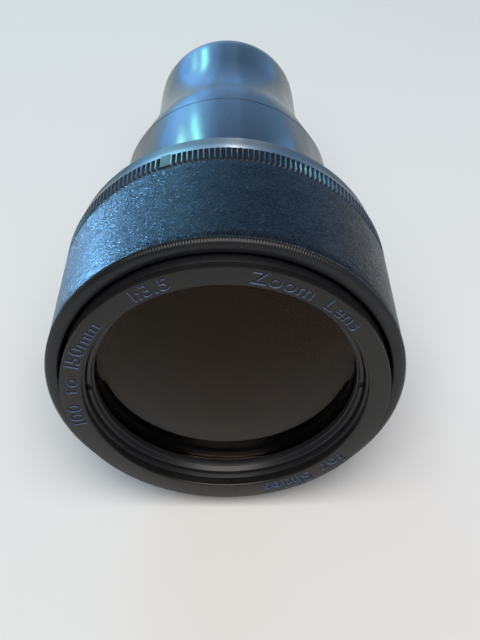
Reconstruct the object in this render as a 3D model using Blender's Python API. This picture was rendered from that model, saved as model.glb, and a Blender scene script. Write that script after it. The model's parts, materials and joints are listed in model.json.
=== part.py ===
"""Zoom projection lens of a slide projector, built as the pieces it comes apart into.

The optical axis is the Y axis: the front glass faces -Y and the barrel points to +Y, into the
projector. The origin is on the axis at the foot of the barrel, where it enters the lens bore.
Turning the grip drives two cams. Its hub has helical slots that move the front cell along the
axis, and the cam sleeve inside the housing has helical slots that move the variator cell.
"""

import math

import bmesh
import bpy

MM = 0.001

# Clearances
FIT = 0.3 * MM  # between two pieces that are seated on each other
RUN = 0.5 * MM  # between two pieces that turn or slide in each other
GRIP_RUN = 0.6 * MM  # between the grip and the housing
OVERRUN = 1.0 * MM  # by which a cutter passes the surface that it cuts

# Zoom movement, counted from the position at rest
ZOOM_MIN = math.radians(-40)
ZOOM_MAX = math.radians(60)
FRONT_PER_DEGREE = 0.10 * MM  # front cell, forward
VARIATOR_PER_DEGREE = 0.22 * MM  # variator cell, rearward

END_GAP = 0.9 * MM  # left at both ends of the front cell's travel
SLOT_END_WALL = 1.8 * MM  # between a follower's slot and the end of its sleeve
KEY_SLOT_WALL = 2.5 * MM

# Barrel and cone: the rear moulding
BARREL_RADIUS = 26.25 * MM
BARREL_DRAFT = 0.25 * MM
BARREL_LENGTH = 31.5 * MM
BARREL_LEAD_IN = 6.0 * MM
BARREL_LEAD_IN_DEPTH = 1.1 * MM
BARREL_BORE = 23.3 * MM
BORE_FLARE = 0.9 * MM
CONE_LENGTH = 32.3 * MM
FOOT_FILLET = 8.0 * MM
SEAM_EDGE = 0.4 * MM
SCREW_HOLE_DEPTH = 6.5 * MM
RACK_PITCH = 2.0 * MM
RACK_TEETH = 12
RACK_WIDTH = 13.0 * MM
RACK_DEPTH = 1.1 * MM

# Housing: the fixed tube under the grip
HOUSING_RADIUS = 35.4 * MM
HOUSING_DRAFT = 0.4 * MM
HOUSING_WALL = 2.7 * MM
HOUSING_SHOWN = 45.2 * MM  # length between the grip and the seam
WEB_THICKNESS = 5.0 * MM
WEB_BORE = 24.8 * MM
KEY_FROM_FRONT = 3.9 * MM

# Cam sleeve and its keepers
CAM_WALL = 2.4 * MM
SNAP_RING_THICKNESS = 1.4 * MM
SNAP_RING_BITE = 0.9 * MM
SNAP_RING_WIDTH = 3.0 * MM
SNAP_RING_GAP = math.radians(24)
SNAP_RING_FROM_KEY = 3.6 * MM
CAM_END_PLAY = 0.7 * MM
WASHER_SPACE = 1.5 * MM
WASHER_THICKNESS = 0.45 * MM
WASHER_WAVE = 0.22 * MM
WASHER_WAVES = 3

# Front cell, its glass and the name ring, from the glass edge outward
SLEEVE_WALL = 1.8 * MM
FRONT_GLASS_STEP = 0.5 * MM
CELL_BORE_PLAY = 0.4 * MM
CELL_WALL = 2.0 * MM
NAME_RING_STEP = 0.65 * MM
NAME_RING_WIDTH = 5.95 * MM
NAME_RING_THICKNESS = 2.1 * MM
NAME_RING_PROUD = 4.4 * MM  # in front of the lip
NAME_RING_EDGE = 0.35 * MM
CELL_FLANGE = 4.2 * MM
CELL_FACE_PROUD = 2.0 * MM
FRONT_KEEPER_WIDTH = 1.8 * MM  # the part of it that covers the glass
FRONT_KEEPER_INSET = 1.4 * MM
FRONT_KEEPER_LENGTH = 3.7 * MM
FRONT_KEEPER_FLARE = 0.8 * MM
FRONT_EDGE_THICKNESS = 5.0 * MM
FRONT_GLASS_BULGES = (3.2 * MM, -2.2 * MM)  # front and back face, hollow when negative
FRONT_SPACER_LENGTH = 1.8 * MM
SECOND_EDGE_THICKNESS = 3.6 * MM
SECOND_GLASS_BULGES = (0.0, 3.0 * MM)
CELL_SEAT = 2.5 * MM
CELL_SEAT_STEP = 2.4 * MM
FLANGE_SETBACK = 0.2 * MM

# Grip, from the name ring outward
LIP_GAP = 0.8 * MM
SPIGOT_WALL = 0.6 * MM
SPIGOT_LENGTH = 4.0 * MM
GRIP_WALL = 1.6 * MM
BAND_THICKNESS = 1.15 * MM
BAND_LENGTH = 35.1 * MM
BAND_DRAFT = 0.6 * MM
BAND_SETBACK = 0.05 * MM
LIP_THICKNESS = 2.0 * MM
LIP_ROUND = 1.2 * MM
HUB_WALL = 2.2 * MM
GRIP_WEB = 6.5 * MM
GRIP_THICKENING = 2.4 * MM  # where the shell meets the web
REAR_RIM_RADIUS_DROP = 0.7 * MM
REAR_KNURL_LENGTH = 5.3 * MM
REAR_CHAMFER_LENGTH = 7.0 * MM
REAR_CHAMFER_DEPTH = 1.5 * MM
REAR_PLATE = 2.7 * MM
REAR_ROUND = 1.0 * MM

# Screws, keys and followers
FOLLOWER_RADIUS = 2.4 * MM
VARIATOR_FOLLOWER_RADIUS = 2.2 * MM
FOLLOWER_COUNT = 3
KEY_HEAD_RADIUS = 2.2 * MM
KEY_SHANK_RADIUS = 1.3 * MM
KEY_HEAD_GAP = 0.2 * MM
KEY_HEAD_PROUD = 0.1 * MM
PIN_SETBACK = 0.4 * MM  # from a pin's end to the bore it stands in
DRIVE_SCREW_SHANK = 1.5 * MM
DRIVE_SCREW_HEAD = 2.6 * MM
DRIVE_SCREW_HEAD_HEIGHT = 2.4 * MM
DRIVE_SCREW_COUNT = 2
DRIVE_SEAT_DEPTH = 1.3 * MM
BARREL_SCREW_SHANK = 1.25 * MM
BARREL_SCREW_HEAD = 2.2 * MM
BARREL_SCREW_HEAD_HEIGHT = 1.6 * MM
BARREL_SCREW_LENGTH = 8.0 * MM
BARREL_SCREW_COUNT = 3
DRIVER_SLOT_WIDTH = 0.6 * MM
DRIVER_SLOT_DEPTH = 0.6 * MM

# Variator cell and glass
VARIATOR_FROM_SEAM = 28.7 * MM  # cell centre to the seam, at rest
VARIATOR_CELL_LENGTH = 18.0 * MM
VARIATOR_CELL_WALL = 3.5 * MM
VARIATOR_EDGE_THICKNESS = 8.0 * MM
VARIATOR_GLASS_BULGES = (-2.0 * MM, -2.6 * MM)
VARIATOR_SEAT = 2.0 * MM
VARIATOR_SEAT_STEP = 2.0 * MM
VARIATOR_KEEPER_LENGTH = 2.6 * MM
STOP_THICKNESS = 0.8 * MM
STOP_RADIUS = 19.5 * MM
GROOVE_DEPTH = 1.3 * MM
FOLLOWER_FLOOR = 1.2 * MM  # wall left between the glass and a follower hole

# Rear glass, in the barrel
REAR_SHOULDER_Y = -1.0 * MM
REAR_SHOULDER_LENGTH = 3.0 * MM
REAR_SHOULDER_STEP = 2.5 * MM
REAR_INNER_EDGE = 4.7 * MM
REAR_INNER_BULGES = (2.2 * MM, -1.6 * MM)
REAR_SPACER_LENGTH = 10.1 * MM
REAR_SPACER_WIDTH = 1.9 * MM
REAR_OUTER_EDGE = 5.6 * MM
REAR_OUTER_BULGES = (1.5 * MM, 1.8 * MM)
REAR_KEEPER_LENGTH = 3.0 * MM
KEEPER_RING_WIDTH = 2.3 * MM
NOTCH_WIDTH = 2.4 * MM
NOTCH_DEPTH = 1.0 * MM

# Facets round a turned piece
SHOWN_STEPS = 40
INNER_STEPS = 28
PIN_STEPS = 12

# Radii worked out from the housing: inward to the variator
housing_bore = HOUSING_RADIUS - HOUSING_WALL
cam_radius = housing_bore - RUN
cam_bore = cam_radius - CAM_WALL
variator_radius = cam_bore - RUN
variator_glass_radius = variator_radius - VARIATOR_CELL_WALL - FIT

# Radii worked out from the housing: outward to the grip
sleeve_bore = HOUSING_RADIUS + RUN
sleeve_radius = sleeve_bore + SLEEVE_WALL
hub_bore = sleeve_radius + RUN
hub_radius = hub_bore + HUB_WALL
front_glass_radius = sleeve_radius + FRONT_GLASS_STEP
cell_bore = front_glass_radius + CELL_BORE_PLAY
cell_radius = cell_bore + CELL_WALL
cell_seat_bore = sleeve_bore - CELL_SEAT_STEP
name_ring_bore = cell_bore + NAME_RING_STEP
name_ring_radius = name_ring_bore + NAME_RING_WIDTH
lip_opening = name_ring_radius + LIP_GAP
spigot_radius = lip_opening + SPIGOT_WALL
shell_bore = spigot_radius + FIT
shell_radius = shell_bore + GRIP_WALL
band_bore = shell_radius + FIT
grip_radius = band_bore + BAND_THICKNESS
rear_rim_radius = grip_radius - REAR_RIM_RADIUS_DROP
rear_rim_bore = shell_bore
shell_rear_radius = rear_rim_bore - FIT
grip_bore = HOUSING_RADIUS + GRIP_RUN

# Lengths along the axis behind the lip, as one stack through the front cell and the grip
front_advance = FRONT_PER_DEGREE * math.degrees(ZOOM_MAX)
front_retract = -FRONT_PER_DEGREE * math.degrees(ZOOM_MIN)
cell_front = -CELL_FACE_PROUD
keeper_front = cell_front + FRONT_KEEPER_INSET
front_glass_front = keeper_front + FRONT_KEEPER_LENGTH + FIT
spacer_front = front_glass_front + FRONT_EDGE_THICKNESS + FIT
second_glass_front = spacer_front + FRONT_SPACER_LENGTH + FIT
seat_front = second_glass_front + SECOND_EDGE_THICKNESS + FIT
cell_back = seat_front + CELL_SEAT
hub_front = cell_back + front_retract + END_GAP
follower_reach = FOLLOWER_RADIUS + FIT
follower_station = hub_front + SLOT_END_WALL + front_advance + follower_reach
sleeve_end = follower_station + follower_reach + SLOT_END_WALL
grip_web_front = sleeve_end + front_retract + END_GAP
grip_web_back = grip_web_front + GRIP_WEB
rear_plate_front = grip_web_back + FIT
grip_length = rear_plate_front + REAR_PLATE
drive_station = grip_web_front + GRIP_WEB / 2
key_reach = KEY_HEAD_RADIUS + FIT
key_station = cell_back + KEY_SLOT_WALL + front_retract + key_reach
housing_front = key_station - KEY_FROM_FRONT
snap_ring_front = key_station + SNAP_RING_FROM_KEY
cam_front = snap_ring_front + SNAP_RING_THICKNESS + CAM_END_PLAY
rear_knurl_front = LIP_THICKNESS + FIT + BAND_LENGTH + FIT

# Places on the Y axis
SEAM_Y = -CONE_LENGTH
LIP_Y = SEAM_Y - HOUSING_SHOWN - grip_length
VARIATOR_Y = SEAM_Y - VARIATOR_FROM_SEAM
WEB_BACK_Y = SEAM_Y - FIT
WEB_FRONT_Y = WEB_BACK_Y - WEB_THICKNESS
CAM_END_Y = WEB_FRONT_Y - WASHER_SPACE

variator_back = VARIATOR_PER_DEGREE * math.degrees(ZOOM_MAX)
variator_forward = -VARIATOR_PER_DEGREE * math.degrees(ZOOM_MIN)
variator_reach = VARIATOR_FOLLOWER_RADIUS + FIT
barrel_screw_circle = (housing_bore + WEB_BORE) / 2


def clear_scene():
    for obj in list(bpy.data.objects):
        bpy.data.objects.remove(obj, do_unlink=True)


def make_material(name, colour, roughness, metallic=0.0, transmission=0.0):
    material = bpy.data.materials.new(name)
    material.use_nodes = True
    shader = material.node_tree.nodes["Principled BSDF"]
    shader.inputs["Base Color"].default_value = (*colour, 1.0)
    shader.inputs["Roughness"].default_value = roughness
    shader.inputs["Metallic"].default_value = metallic
    shader.inputs["Transmission Weight"].default_value = transmission
    material.diffuse_color = (*colour, 1.0)
    return material


def make_empty(name):
    empty = bpy.data.objects.new(name, None)
    bpy.context.collection.objects.link(empty)
    return empty


def add_object(name, shape, material=None, parent=None, place=(0, 0, 0), turn=0.0):
    """Makes an object of a bmesh, put at place and turned about the Y axis."""
    mesh = bpy.data.meshes.new(name)
    shape.to_mesh(mesh)
    shape.free()
    mesh.shade_smooth()
    mesh.set_sharp_from_angle(angle=math.radians(30))
    obj = bpy.data.objects.new(name, mesh)
    bpy.context.collection.objects.link(obj)
    obj.location = place
    obj.rotation_euler = (0, turn, 0)
    if parent:
        obj.parent = parent
    if material:
        mesh.materials.append(material)
    return obj


def add_cutter(name, shape, target, place=(0, 0, 0)):
    """Cuts a bmesh out of the target."""
    cutter = add_object(name, shape, place=place)
    cutter.hide_render = True
    cutter.display_type = "WIRE"
    cut = target.modifiers.new(name, "BOOLEAN")
    cut.object = cutter
    cut.operation = "DIFFERENCE"
    cut.solver = "EXACT"
    return cutter


def turned(outline, steps, axis="Y"):
    """A solid of revolution: outline holds (along the axis, radius) points, closed on itself.

    An outline that starts and ends on the axis makes a solid piece, and any other makes a ring.
    """
    shape = bmesh.new()
    if axis == "Y":
        points = [shape.verts.new((radius, along, 0)) for along, radius in outline]
        direction = (0, 1, 0)
    else:
        points = [shape.verts.new((radius, 0, along)) for along, radius in outline]
        direction = (0, 0, 1)
    pairs = list(zip(points, points[1:]))
    if outline[0][1] > 0:
        pairs.append((points[-1], points[0]))
    edges = [shape.edges.new(pair) for pair in pairs]
    bmesh.ops.spin(
        shape, geom=points + edges, cent=(0, 0, 0), axis=direction,
        angle=2 * math.pi, steps=steps, use_merge=True,
    )
    bmesh.ops.remove_doubles(shape, verts=shape.verts, dist=0.001 * MM)
    bmesh.ops.recalc_face_normals(shape, faces=shape.faces)
    return shape


def box_shape(size, centre):
    shape = bmesh.new()
    bmesh.ops.create_cube(shape, size=1.0)
    bmesh.ops.scale(shape, vec=size, verts=shape.verts)
    bmesh.ops.translate(shape, vec=centre, verts=shape.verts)
    return shape


def merge_shapes(shapes):
    """Joins bmeshes that don't touch into one."""
    mesh = bpy.data.meshes.new("joined")
    joined = bmesh.new()
    for shape in shapes:
        shape.to_mesh(mesh)
        shape.free()
        joined.from_mesh(mesh)
    bpy.data.meshes.remove(mesh)
    return joined


def spun_copy(shape, angle):
    """Turns a bmesh about the Y axis in place."""
    cosine, sine = math.cos(angle), math.sin(angle)
    for vert in shape.verts:
        x, y, z = vert.co
        vert.co = (x * cosine + z * sine, y, z * cosine - x * sine)
    return shape


def radial_hole(radius, inner, outer, along, angle):
    """A cylinder that points out from the Y axis, at this angle from +Z towards +X."""
    shape = bmesh.new()
    bmesh.ops.create_cone(
        shape, cap_ends=True, segments=PIN_STEPS, radius1=radius, radius2=radius, depth=outer - inner,
    )
    bmesh.ops.translate(shape, vec=(0, along, (inner + outer) / 2), verts=shape.verts)
    return spun_copy(shape, angle)


def curved_slot(inner, outer, start, end, reach, steps=9):
    """A slot wrapped round the Y axis, from start to end, each (angle, along).

    It is twice reach wide, and runs past start and end by reach.
    """
    middle = (inner + outer) / 2
    run = middle * (end[0] - start[0])
    climb = end[1] - start[1]
    length = math.hypot(run, climb)
    tangent = (run / length, climb / length)
    shape = bmesh.new()
    rows = []
    for step in range(steps + 1):
        travel = -reach + (length + 2 * reach) * step / steps
        row = []
        for side, radius in ((-1, inner), (-1, outer), (1, outer), (1, inner)):
            arc = tangent[0] * travel - side * reach * tangent[1]
            along = start[1] + tangent[1] * travel + side * reach * tangent[0]
            angle = start[0] + arc / middle
            row.append(shape.verts.new((radius * math.sin(angle), along, radius * math.cos(angle))))
        rows.append(row)
    for near, far in zip(rows, rows[1:]):
        for corner in range(4):
            after = (corner + 1) % 4
            shape.faces.new((near[corner], near[after], far[after], far[corner]))
    shape.faces.new(rows[0][::-1])
    shape.faces.new(rows[-1])
    bmesh.ops.recalc_face_normals(shape, faces=shape.faces)
    return shape


def even_angles(count, first=0.0):
    return [first + 2 * math.pi * index / count for index in range(count)]


def bulge(height, clear, at):
    """How far a spherical face stands out at a distance from the axis, and 0 outside its clear radius."""
    if height == 0 or at >= clear:
        return 0.0
    sphere = (clear**2 + height**2) / (2 * abs(height))
    depth = math.sqrt(sphere**2 - at**2) - math.sqrt(sphere**2 - clear**2)
    return math.copysign(depth, height)


def lens_outline(radius, clear, edge, bulges, rings=2):
    """A lens with a flat land outside its clear radius. Its two faces bulge, or are hollow."""
    front, back = bulges
    radii = [clear * ring / rings for ring in range(rings + 1)] + [radius]
    faces = [(-bulge(front, clear, at), at) for at in radii]
    return faces + [(edge + bulge(back, clear, at), at) for at in reversed(radii)]


def keeper_outline(radius, width, length):
    return [(0, radius - width), (length, radius - width), (length, radius), (0, radius)]


def cut_notches(ring, radius, along):
    """Two notches for a spanner across a keeper ring, in its face at this place."""
    size = (2 * (radius + OVERRUN), 2 * NOTCH_DEPTH, NOTCH_WIDTH)
    add_cutter(ring.name + "_notches", box_shape(size, (0, 0, 0)), ring, place=(0, along, 0))


def build_housing(parts, skins):
    """The fixed tube. Its rear web carries the barrel, and its bore guides the variator."""
    rear_radius = HOUSING_RADIUS - HOUSING_DRAFT
    front_y = LIP_Y + housing_front
    outline = [
        (front_y, housing_bore),
        (WEB_FRONT_Y, housing_bore),
        (WEB_FRONT_Y, WEB_BORE),
        (WEB_BACK_Y, WEB_BORE),
        (WEB_BACK_Y, rear_radius),
        (front_y, HOUSING_RADIUS),
    ]
    housing = add_object("front_housing", turned(outline, SHOWN_STEPS), skins["housing"], parts["root"])

    groove = keeper_outline(
        housing_bore + SNAP_RING_BITE + FIT, SNAP_RING_WIDTH, SNAP_RING_THICKNESS + 2 * FIT,
    )
    add_cutter(
        "snap_ring_groove", turned(groove, SHOWN_STEPS), housing,
        place=(0, LIP_Y + snap_ring_front - FIT, 0),
    )
    drive_reach = DRIVE_SCREW_SHANK + 2 * FIT
    station = LIP_Y + drive_station
    slots = [
        curved_slot(
            housing_bore - OVERRUN, HOUSING_RADIUS + OVERRUN,
            (angle + ZOOM_MIN, station), (angle + ZOOM_MAX, station), drive_reach,
        )
        for angle in even_angles(DRIVE_SCREW_COUNT, math.pi / 2)
    ]
    add_cutter("drive_slots", merge_shapes(slots), housing)
    grooves = [
        curved_slot(
            housing_bore - OVERRUN, housing_bore + GROOVE_DEPTH,
            (angle, VARIATOR_Y - variator_forward), (angle, WEB_FRONT_Y - variator_reach - FIT),
            variator_reach, steps=1,
        )
        for angle in even_angles(FOLLOWER_COUNT)
    ]
    add_cutter("variator_grooves", merge_shapes(grooves), housing)
    key_holes = [
        radial_hole(KEY_SHANK_RADIUS + FIT, housing_bore - OVERRUN, HOUSING_RADIUS + OVERRUN,
                    LIP_Y + key_station, angle)
        for angle in even_angles(FOLLOWER_COUNT, math.pi)
    ]
    add_cutter("key_holes", merge_shapes(key_holes), housing)
    screw_outline = [
        (WEB_FRONT_Y - OVERRUN, 0),
        (WEB_FRONT_Y - OVERRUN, BARREL_SCREW_HEAD + FIT),
        (WEB_FRONT_Y + BARREL_SCREW_HEAD_HEIGHT + 2 * FIT, BARREL_SCREW_HEAD + FIT),
        (WEB_FRONT_Y + BARREL_SCREW_HEAD_HEIGHT + 2 * FIT, BARREL_SCREW_SHANK + FIT),
        (WEB_BACK_Y + OVERRUN, BARREL_SCREW_SHANK + FIT),
        (WEB_BACK_Y + OVERRUN, 0),
    ]
    add_cutter("web_screw_holes", merge_shapes(beside_axis(screw_outline)), housing)


def beside_axis(outline):
    """Turned shapes on the circle of the barrel screws."""
    shapes = []
    for angle in even_angles(BARREL_SCREW_COUNT, math.pi / 3):
        shape = turned(outline, PIN_STEPS)
        bmesh.ops.translate(shape, vec=(0, 0, barrel_screw_circle), verts=shape.verts)
        shapes.append(spun_copy(shape, angle))
    return shapes


def eased_corner(start, corner, end, steps=4):
    """Points of a smooth curve that leaves start and reaches end, both aimed at corner."""
    points = []
    for step in range(steps + 1):
        t = step / steps
        points.append(tuple(
            (1 - t) ** 2 * a + 2 * t * (1 - t) * b + t * t * c for a, b, c in zip(start, corner, end)
        ))
    return points


def build_barrel(parts, skins):
    """Cone, barrel and focusing rack, moulded in one and screwed to the housing's web."""
    seam_radius = HOUSING_RADIUS - HOUSING_DRAFT
    end_radius = BARREL_RADIUS - BARREL_DRAFT
    shoulder_bore = BARREL_BORE - REAR_SHOULDER_STEP
    shoulder_end = REAR_SHOULDER_Y + REAR_SHOULDER_LENGTH
    slope = (seam_radius - BARREL_RADIUS) / CONE_LENGTH
    fillet_start = (-FOOT_FILLET, BARREL_RADIUS + slope * FOOT_FILLET)
    outline = [
        (SEAM_Y, WEB_BORE),
        (-FOOT_FILLET, WEB_BORE),
        (REAR_SHOULDER_Y, BARREL_BORE + BORE_FLARE),
        (REAR_SHOULDER_Y, shoulder_bore),
        (shoulder_end, shoulder_bore),
        (shoulder_end, BARREL_BORE),
        (BARREL_LENGTH, BARREL_BORE),
        (BARREL_LENGTH, end_radius - BARREL_LEAD_IN_DEPTH),
        (BARREL_LENGTH - BARREL_LEAD_IN, end_radius),
        *eased_corner((FOOT_FILLET, BARREL_RADIUS), (0, BARREL_RADIUS), fillet_start),
        (SEAM_Y + SEAM_EDGE, seam_radius - slope * SEAM_EDGE),
        (SEAM_Y, seam_radius - SEAM_EDGE),
    ]
    barrel = add_object("rear_barrel", turned(outline, SHOWN_STEPS), skins["housing"], parts["root"])

    teeth = []
    for tooth in range(RACK_TEETH):
        along = BARREL_LENGTH - BARREL_LEAD_IN - RACK_PITCH * tooth
        height = RACK_DEPTH + 2 * OVERRUN
        centre = (0, along, -(BARREL_RADIUS - RACK_DEPTH + height / 2))
        teeth.append(box_shape((RACK_WIDTH, RACK_PITCH / 2, height), centre))
    add_cutter("rack_gaps", merge_shapes(teeth), barrel)
    hole = [
        (SEAM_Y - OVERRUN, 0),
        (SEAM_Y - OVERRUN, BARREL_SCREW_SHANK + FIT),
        (SEAM_Y + SCREW_HOLE_DEPTH, BARREL_SCREW_SHANK + FIT),
        (SEAM_Y + SCREW_HOLE_DEPTH, 0),
    ]
    add_cutter("flange_screw_holes", merge_shapes(beside_axis(hole)), barrel)


def build_barrel_screws(parts, skins):
    head_front = WEB_FRONT_Y + FIT
    head_back = head_front + BARREL_SCREW_HEAD_HEIGHT
    outline = [
        (head_front, 0),
        (head_front, BARREL_SCREW_HEAD),
        (head_back, BARREL_SCREW_HEAD),
        (head_back, BARREL_SCREW_SHANK),
        (head_back + BARREL_SCREW_LENGTH, BARREL_SCREW_SHANK),
        (head_back + BARREL_SCREW_LENGTH, 0),
    ]
    for index, shape in enumerate(beside_axis(outline), start=1):
        add_object(f"barrel_screw_{index}", shape, skins["steel"], parts["root"])


def build_radial_pins(prefix, parent, material, outline, along, angles, slotted=False):
    """Pins or screws that stand out from the axis. The outline holds (distance from axis, radius)."""
    for index, angle in enumerate(angles, start=1):
        pin = add_object(
            f"{prefix}_{index}", turned(outline, PIN_STEPS, axis="Z"), material, parent,
            place=(0, along, 0), turn=angle,
        )
        if slotted:
            top = outline[-1][0]
            size = (4 * DRIVE_SCREW_HEAD, DRIVER_SLOT_WIDTH, 2 * DRIVER_SLOT_DEPTH)
            slot = box_shape(size, (0, along, top))
            add_cutter(f"{prefix}_{index}_slot", spun_copy(slot, angle), pin)


def build_guide_keys(parts, skins):
    """Shoulder screws in the housing that stop the front cell turning."""
    seat = HOUSING_RADIUS + KEY_HEAD_GAP
    top = sleeve_radius + KEY_HEAD_PROUD
    outline = [
        (housing_bore + PIN_SETBACK, 0),
        (housing_bore + PIN_SETBACK, KEY_SHANK_RADIUS),
        (seat, KEY_SHANK_RADIUS),
        (seat, KEY_HEAD_RADIUS),
        (top, KEY_HEAD_RADIUS),
        (top, 0),
    ]
    build_radial_pins(
        "guide_key", parts["root"], skins["brass"], outline,
        LIP_Y + key_station, even_angles(FOLLOWER_COUNT, math.pi),
    )


def build_cam_keepers(parts, skins):
    """The snap ring in front of the cam sleeve and the wave washer behind it."""
    outer = housing_bore + SNAP_RING_BITE
    ring = add_object(
        "cam_snap_ring", turned(keeper_outline(outer, SNAP_RING_WIDTH, SNAP_RING_THICKNESS), INNER_STEPS),
        skins["steel"], parts["root"], place=(0, LIP_Y + snap_ring_front, 0),
    )
    gap_width = 2 * outer * math.sin(SNAP_RING_GAP / 2)
    gap = box_shape((gap_width, 4 * SNAP_RING_THICKNESS, 4 * SNAP_RING_WIDTH), (0, 0, -outer))
    add_cutter("snap_ring_gap", gap, ring, place=(0, LIP_Y + snap_ring_front, 0))

    washer = turned(keeper_outline(housing_bore - RUN, CAM_WALL - FIT, WASHER_THICKNESS), INNER_STEPS)
    for vert in washer.verts:
        vert.co.y += WASHER_WAVE * math.sin(WASHER_WAVES * math.atan2(vert.co.x, vert.co.z))
    middle = (CAM_END_Y + WEB_FRONT_Y - WASHER_THICKNESS) / 2
    add_object("cam_wave_washer", washer, skins["steel"], parts["root"], place=(0, middle, 0))


def build_rear_glass(parts, skins):
    """Two lenses and a spacer behind the barrel's inner shoulder, held by a threaded ring."""
    radius = BARREL_BORE - CELL_BORE_PLAY
    along = REAR_SHOULDER_Y + REAR_SHOULDER_LENGTH + FIT
    clear = radius - KEEPER_RING_WIDTH - FIT
    inner = lens_outline(radius, clear, REAR_INNER_EDGE, REAR_INNER_BULGES)
    add_object("rear_inner_element", turned(inner, INNER_STEPS), skins["glass"], parts["root"], (0, along, 0))
    along += REAR_INNER_EDGE + FIT
    spacer = keeper_outline(radius, REAR_SPACER_WIDTH, REAR_SPACER_LENGTH)
    add_object("rear_spacer", turned(spacer, INNER_STEPS), skins["anodised"], parts["root"], (0, along, 0))
    along += REAR_SPACER_LENGTH + FIT
    outer = lens_outline(radius, clear, REAR_OUTER_EDGE, REAR_OUTER_BULGES)
    add_object("rear_outer_element", turned(outer, INNER_STEPS), skins["glass"], parts["root"], (0, along, 0))
    along += REAR_OUTER_EDGE + FIT
    keeper = turned(keeper_outline(radius, KEEPER_RING_WIDTH, REAR_KEEPER_LENGTH), INNER_STEPS)
    ring = add_object("rear_retaining_ring", keeper, skins["anodised"], parts["root"], (0, along, 0))
    cut_notches(ring, radius, along + REAR_KEEPER_LENGTH)


def build_grip(parts, skins):
    """Shell of the zoom ring: outer wall, web and a hub with the helical slots of the front cell."""
    thick_bore = shell_bore - GRIP_THICKENING
    front = LIP_THICKNESS + FIT
    outline = [
        (hub_front, hub_bore),
        (grip_web_front, hub_bore),
        (grip_web_front, grip_bore),
        (grip_web_back, grip_bore),
        (grip_web_back, shell_rear_radius),
        (rear_knurl_front - FIT, shell_rear_radius),
        (rear_knurl_front - FIT, shell_radius),
        (front, shell_radius),
        (front, shell_bore),
        (rear_knurl_front - GRIP_THICKENING, shell_bore),
        (rear_knurl_front, thick_bore),
        (grip_web_front, thick_bore),
        (grip_web_front, hub_radius),
        (hub_front, hub_radius),
    ]
    grip = add_object(
        "grip_ring", turned(outline, SHOWN_STEPS), skins["grip"], parts["zoom"], place=(0, LIP_Y, 0),
    )
    station = LIP_Y + follower_station
    slots = [
        curved_slot(
            hub_bore - OVERRUN, hub_radius + OVERRUN,
            (angle - ZOOM_MIN, station + front_retract), (angle - ZOOM_MAX, station - front_advance),
            follower_reach,
        )
        for angle in even_angles(FOLLOWER_COUNT)
    ]
    add_cutter("front_cam_slots", merge_shapes(slots), grip)
    seat = hub_radius + DRIVE_SEAT_DEPTH
    hole = [
        (grip_bore - OVERRUN, 0),
        (grip_bore - OVERRUN, DRIVE_SCREW_SHANK + FIT),
        (seat, DRIVE_SCREW_SHANK + FIT),
        (seat, DRIVE_SCREW_HEAD + FIT),
        (shell_rear_radius + OVERRUN, DRIVE_SCREW_HEAD + FIT),
        (shell_rear_radius + OVERRUN, 0),
    ]
    holes = []
    for angle in even_angles(DRIVE_SCREW_COUNT, math.pi / 2):
        shape = turned(hole, PIN_STEPS, axis="Z")
        bmesh.ops.translate(shape, vec=(0, LIP_Y + drive_station, 0), verts=shape.verts)
        holes.append(spun_copy(shape, angle))
    add_cutter("drive_screw_holes", merge_shapes(holes), grip)


def build_drive_screws(parts, skins):
    """They tie the grip to the cam sleeve through the housing's slots, under the rear rim."""
    seat = hub_radius + DRIVE_SEAT_DEPTH + FIT
    outline = [
        (cam_bore + PIN_SETBACK, 0),
        (cam_bore + PIN_SETBACK, DRIVE_SCREW_SHANK),
        (seat, DRIVE_SCREW_SHANK),
        (seat, DRIVE_SCREW_HEAD),
        (seat + DRIVE_SCREW_HEAD_HEIGHT, DRIVE_SCREW_HEAD),
        (seat + DRIVE_SCREW_HEAD_HEIGHT, 0),
    ]
    build_radial_pins(
        "drive_screw", parts["zoom"], skins["steel"], outline,
        LIP_Y + drive_station, even_angles(DRIVE_SCREW_COUNT, math.pi / 2), slotted=True,
    )


def build_front_rim(parts, skins):
    """The rounded lip at the front of the grip, with a spigot inside the shell."""
    outline = [
        (0, lip_opening + LIP_ROUND / 2),
        (LIP_ROUND / 2, lip_opening),
        (LIP_THICKNESS + SPIGOT_LENGTH, lip_opening),
        (LIP_THICKNESS + SPIGOT_LENGTH, spigot_radius),
        (LIP_THICKNESS, spigot_radius),
        (LIP_THICKNESS, grip_radius),
        (LIP_ROUND, grip_radius),
        (LIP_ROUND * 0.3, grip_radius - LIP_ROUND * 0.3),
        (0, grip_radius - LIP_ROUND),
    ]
    add_object("front_rim", turned(outline, SHOWN_STEPS), skins["grip"], parts["zoom"], (0, LIP_Y, 0))


def build_band(parts, skins):
    """The grained band between the two rims, butted under the plain pad of the rear rim."""
    outline = [
        (0, band_bore),
        (BAND_LENGTH, band_bore),
        (BAND_LENGTH, grip_radius - BAND_DRAFT),
        (0, grip_radius - BAND_SETBACK),
    ]
    along = LIP_Y + LIP_THICKNESS + FIT
    add_object("leatherette_band", turned(outline, SHOWN_STEPS), skins["band"], parts["zoom"], (0, along, 0))


def build_rear_rim(parts, skins):
    """Knurled rim, long chamfer and the plate that closes the back of the grip."""
    knurl_back = rear_knurl_front + REAR_KNURL_LENGTH
    chamfer_back = knurl_back + REAR_CHAMFER_LENGTH
    edge_radius = rear_rim_radius - REAR_CHAMFER_DEPTH
    outline = [
        (rear_knurl_front, rear_rim_bore),
        (rear_plate_front, rear_rim_bore),
        (rear_plate_front, grip_bore),
        (grip_length, grip_bore),
        (grip_length, edge_radius - REAR_ROUND),
        (max(chamfer_back, grip_length - REAR_ROUND), edge_radius),
        (knurl_back, rear_rim_radius),
        (rear_knurl_front, rear_rim_radius),
    ]
    add_object("rear_rim", turned(outline, SHOWN_STEPS), skins["grip"], parts["zoom"], (0, LIP_Y, 0))


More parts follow.
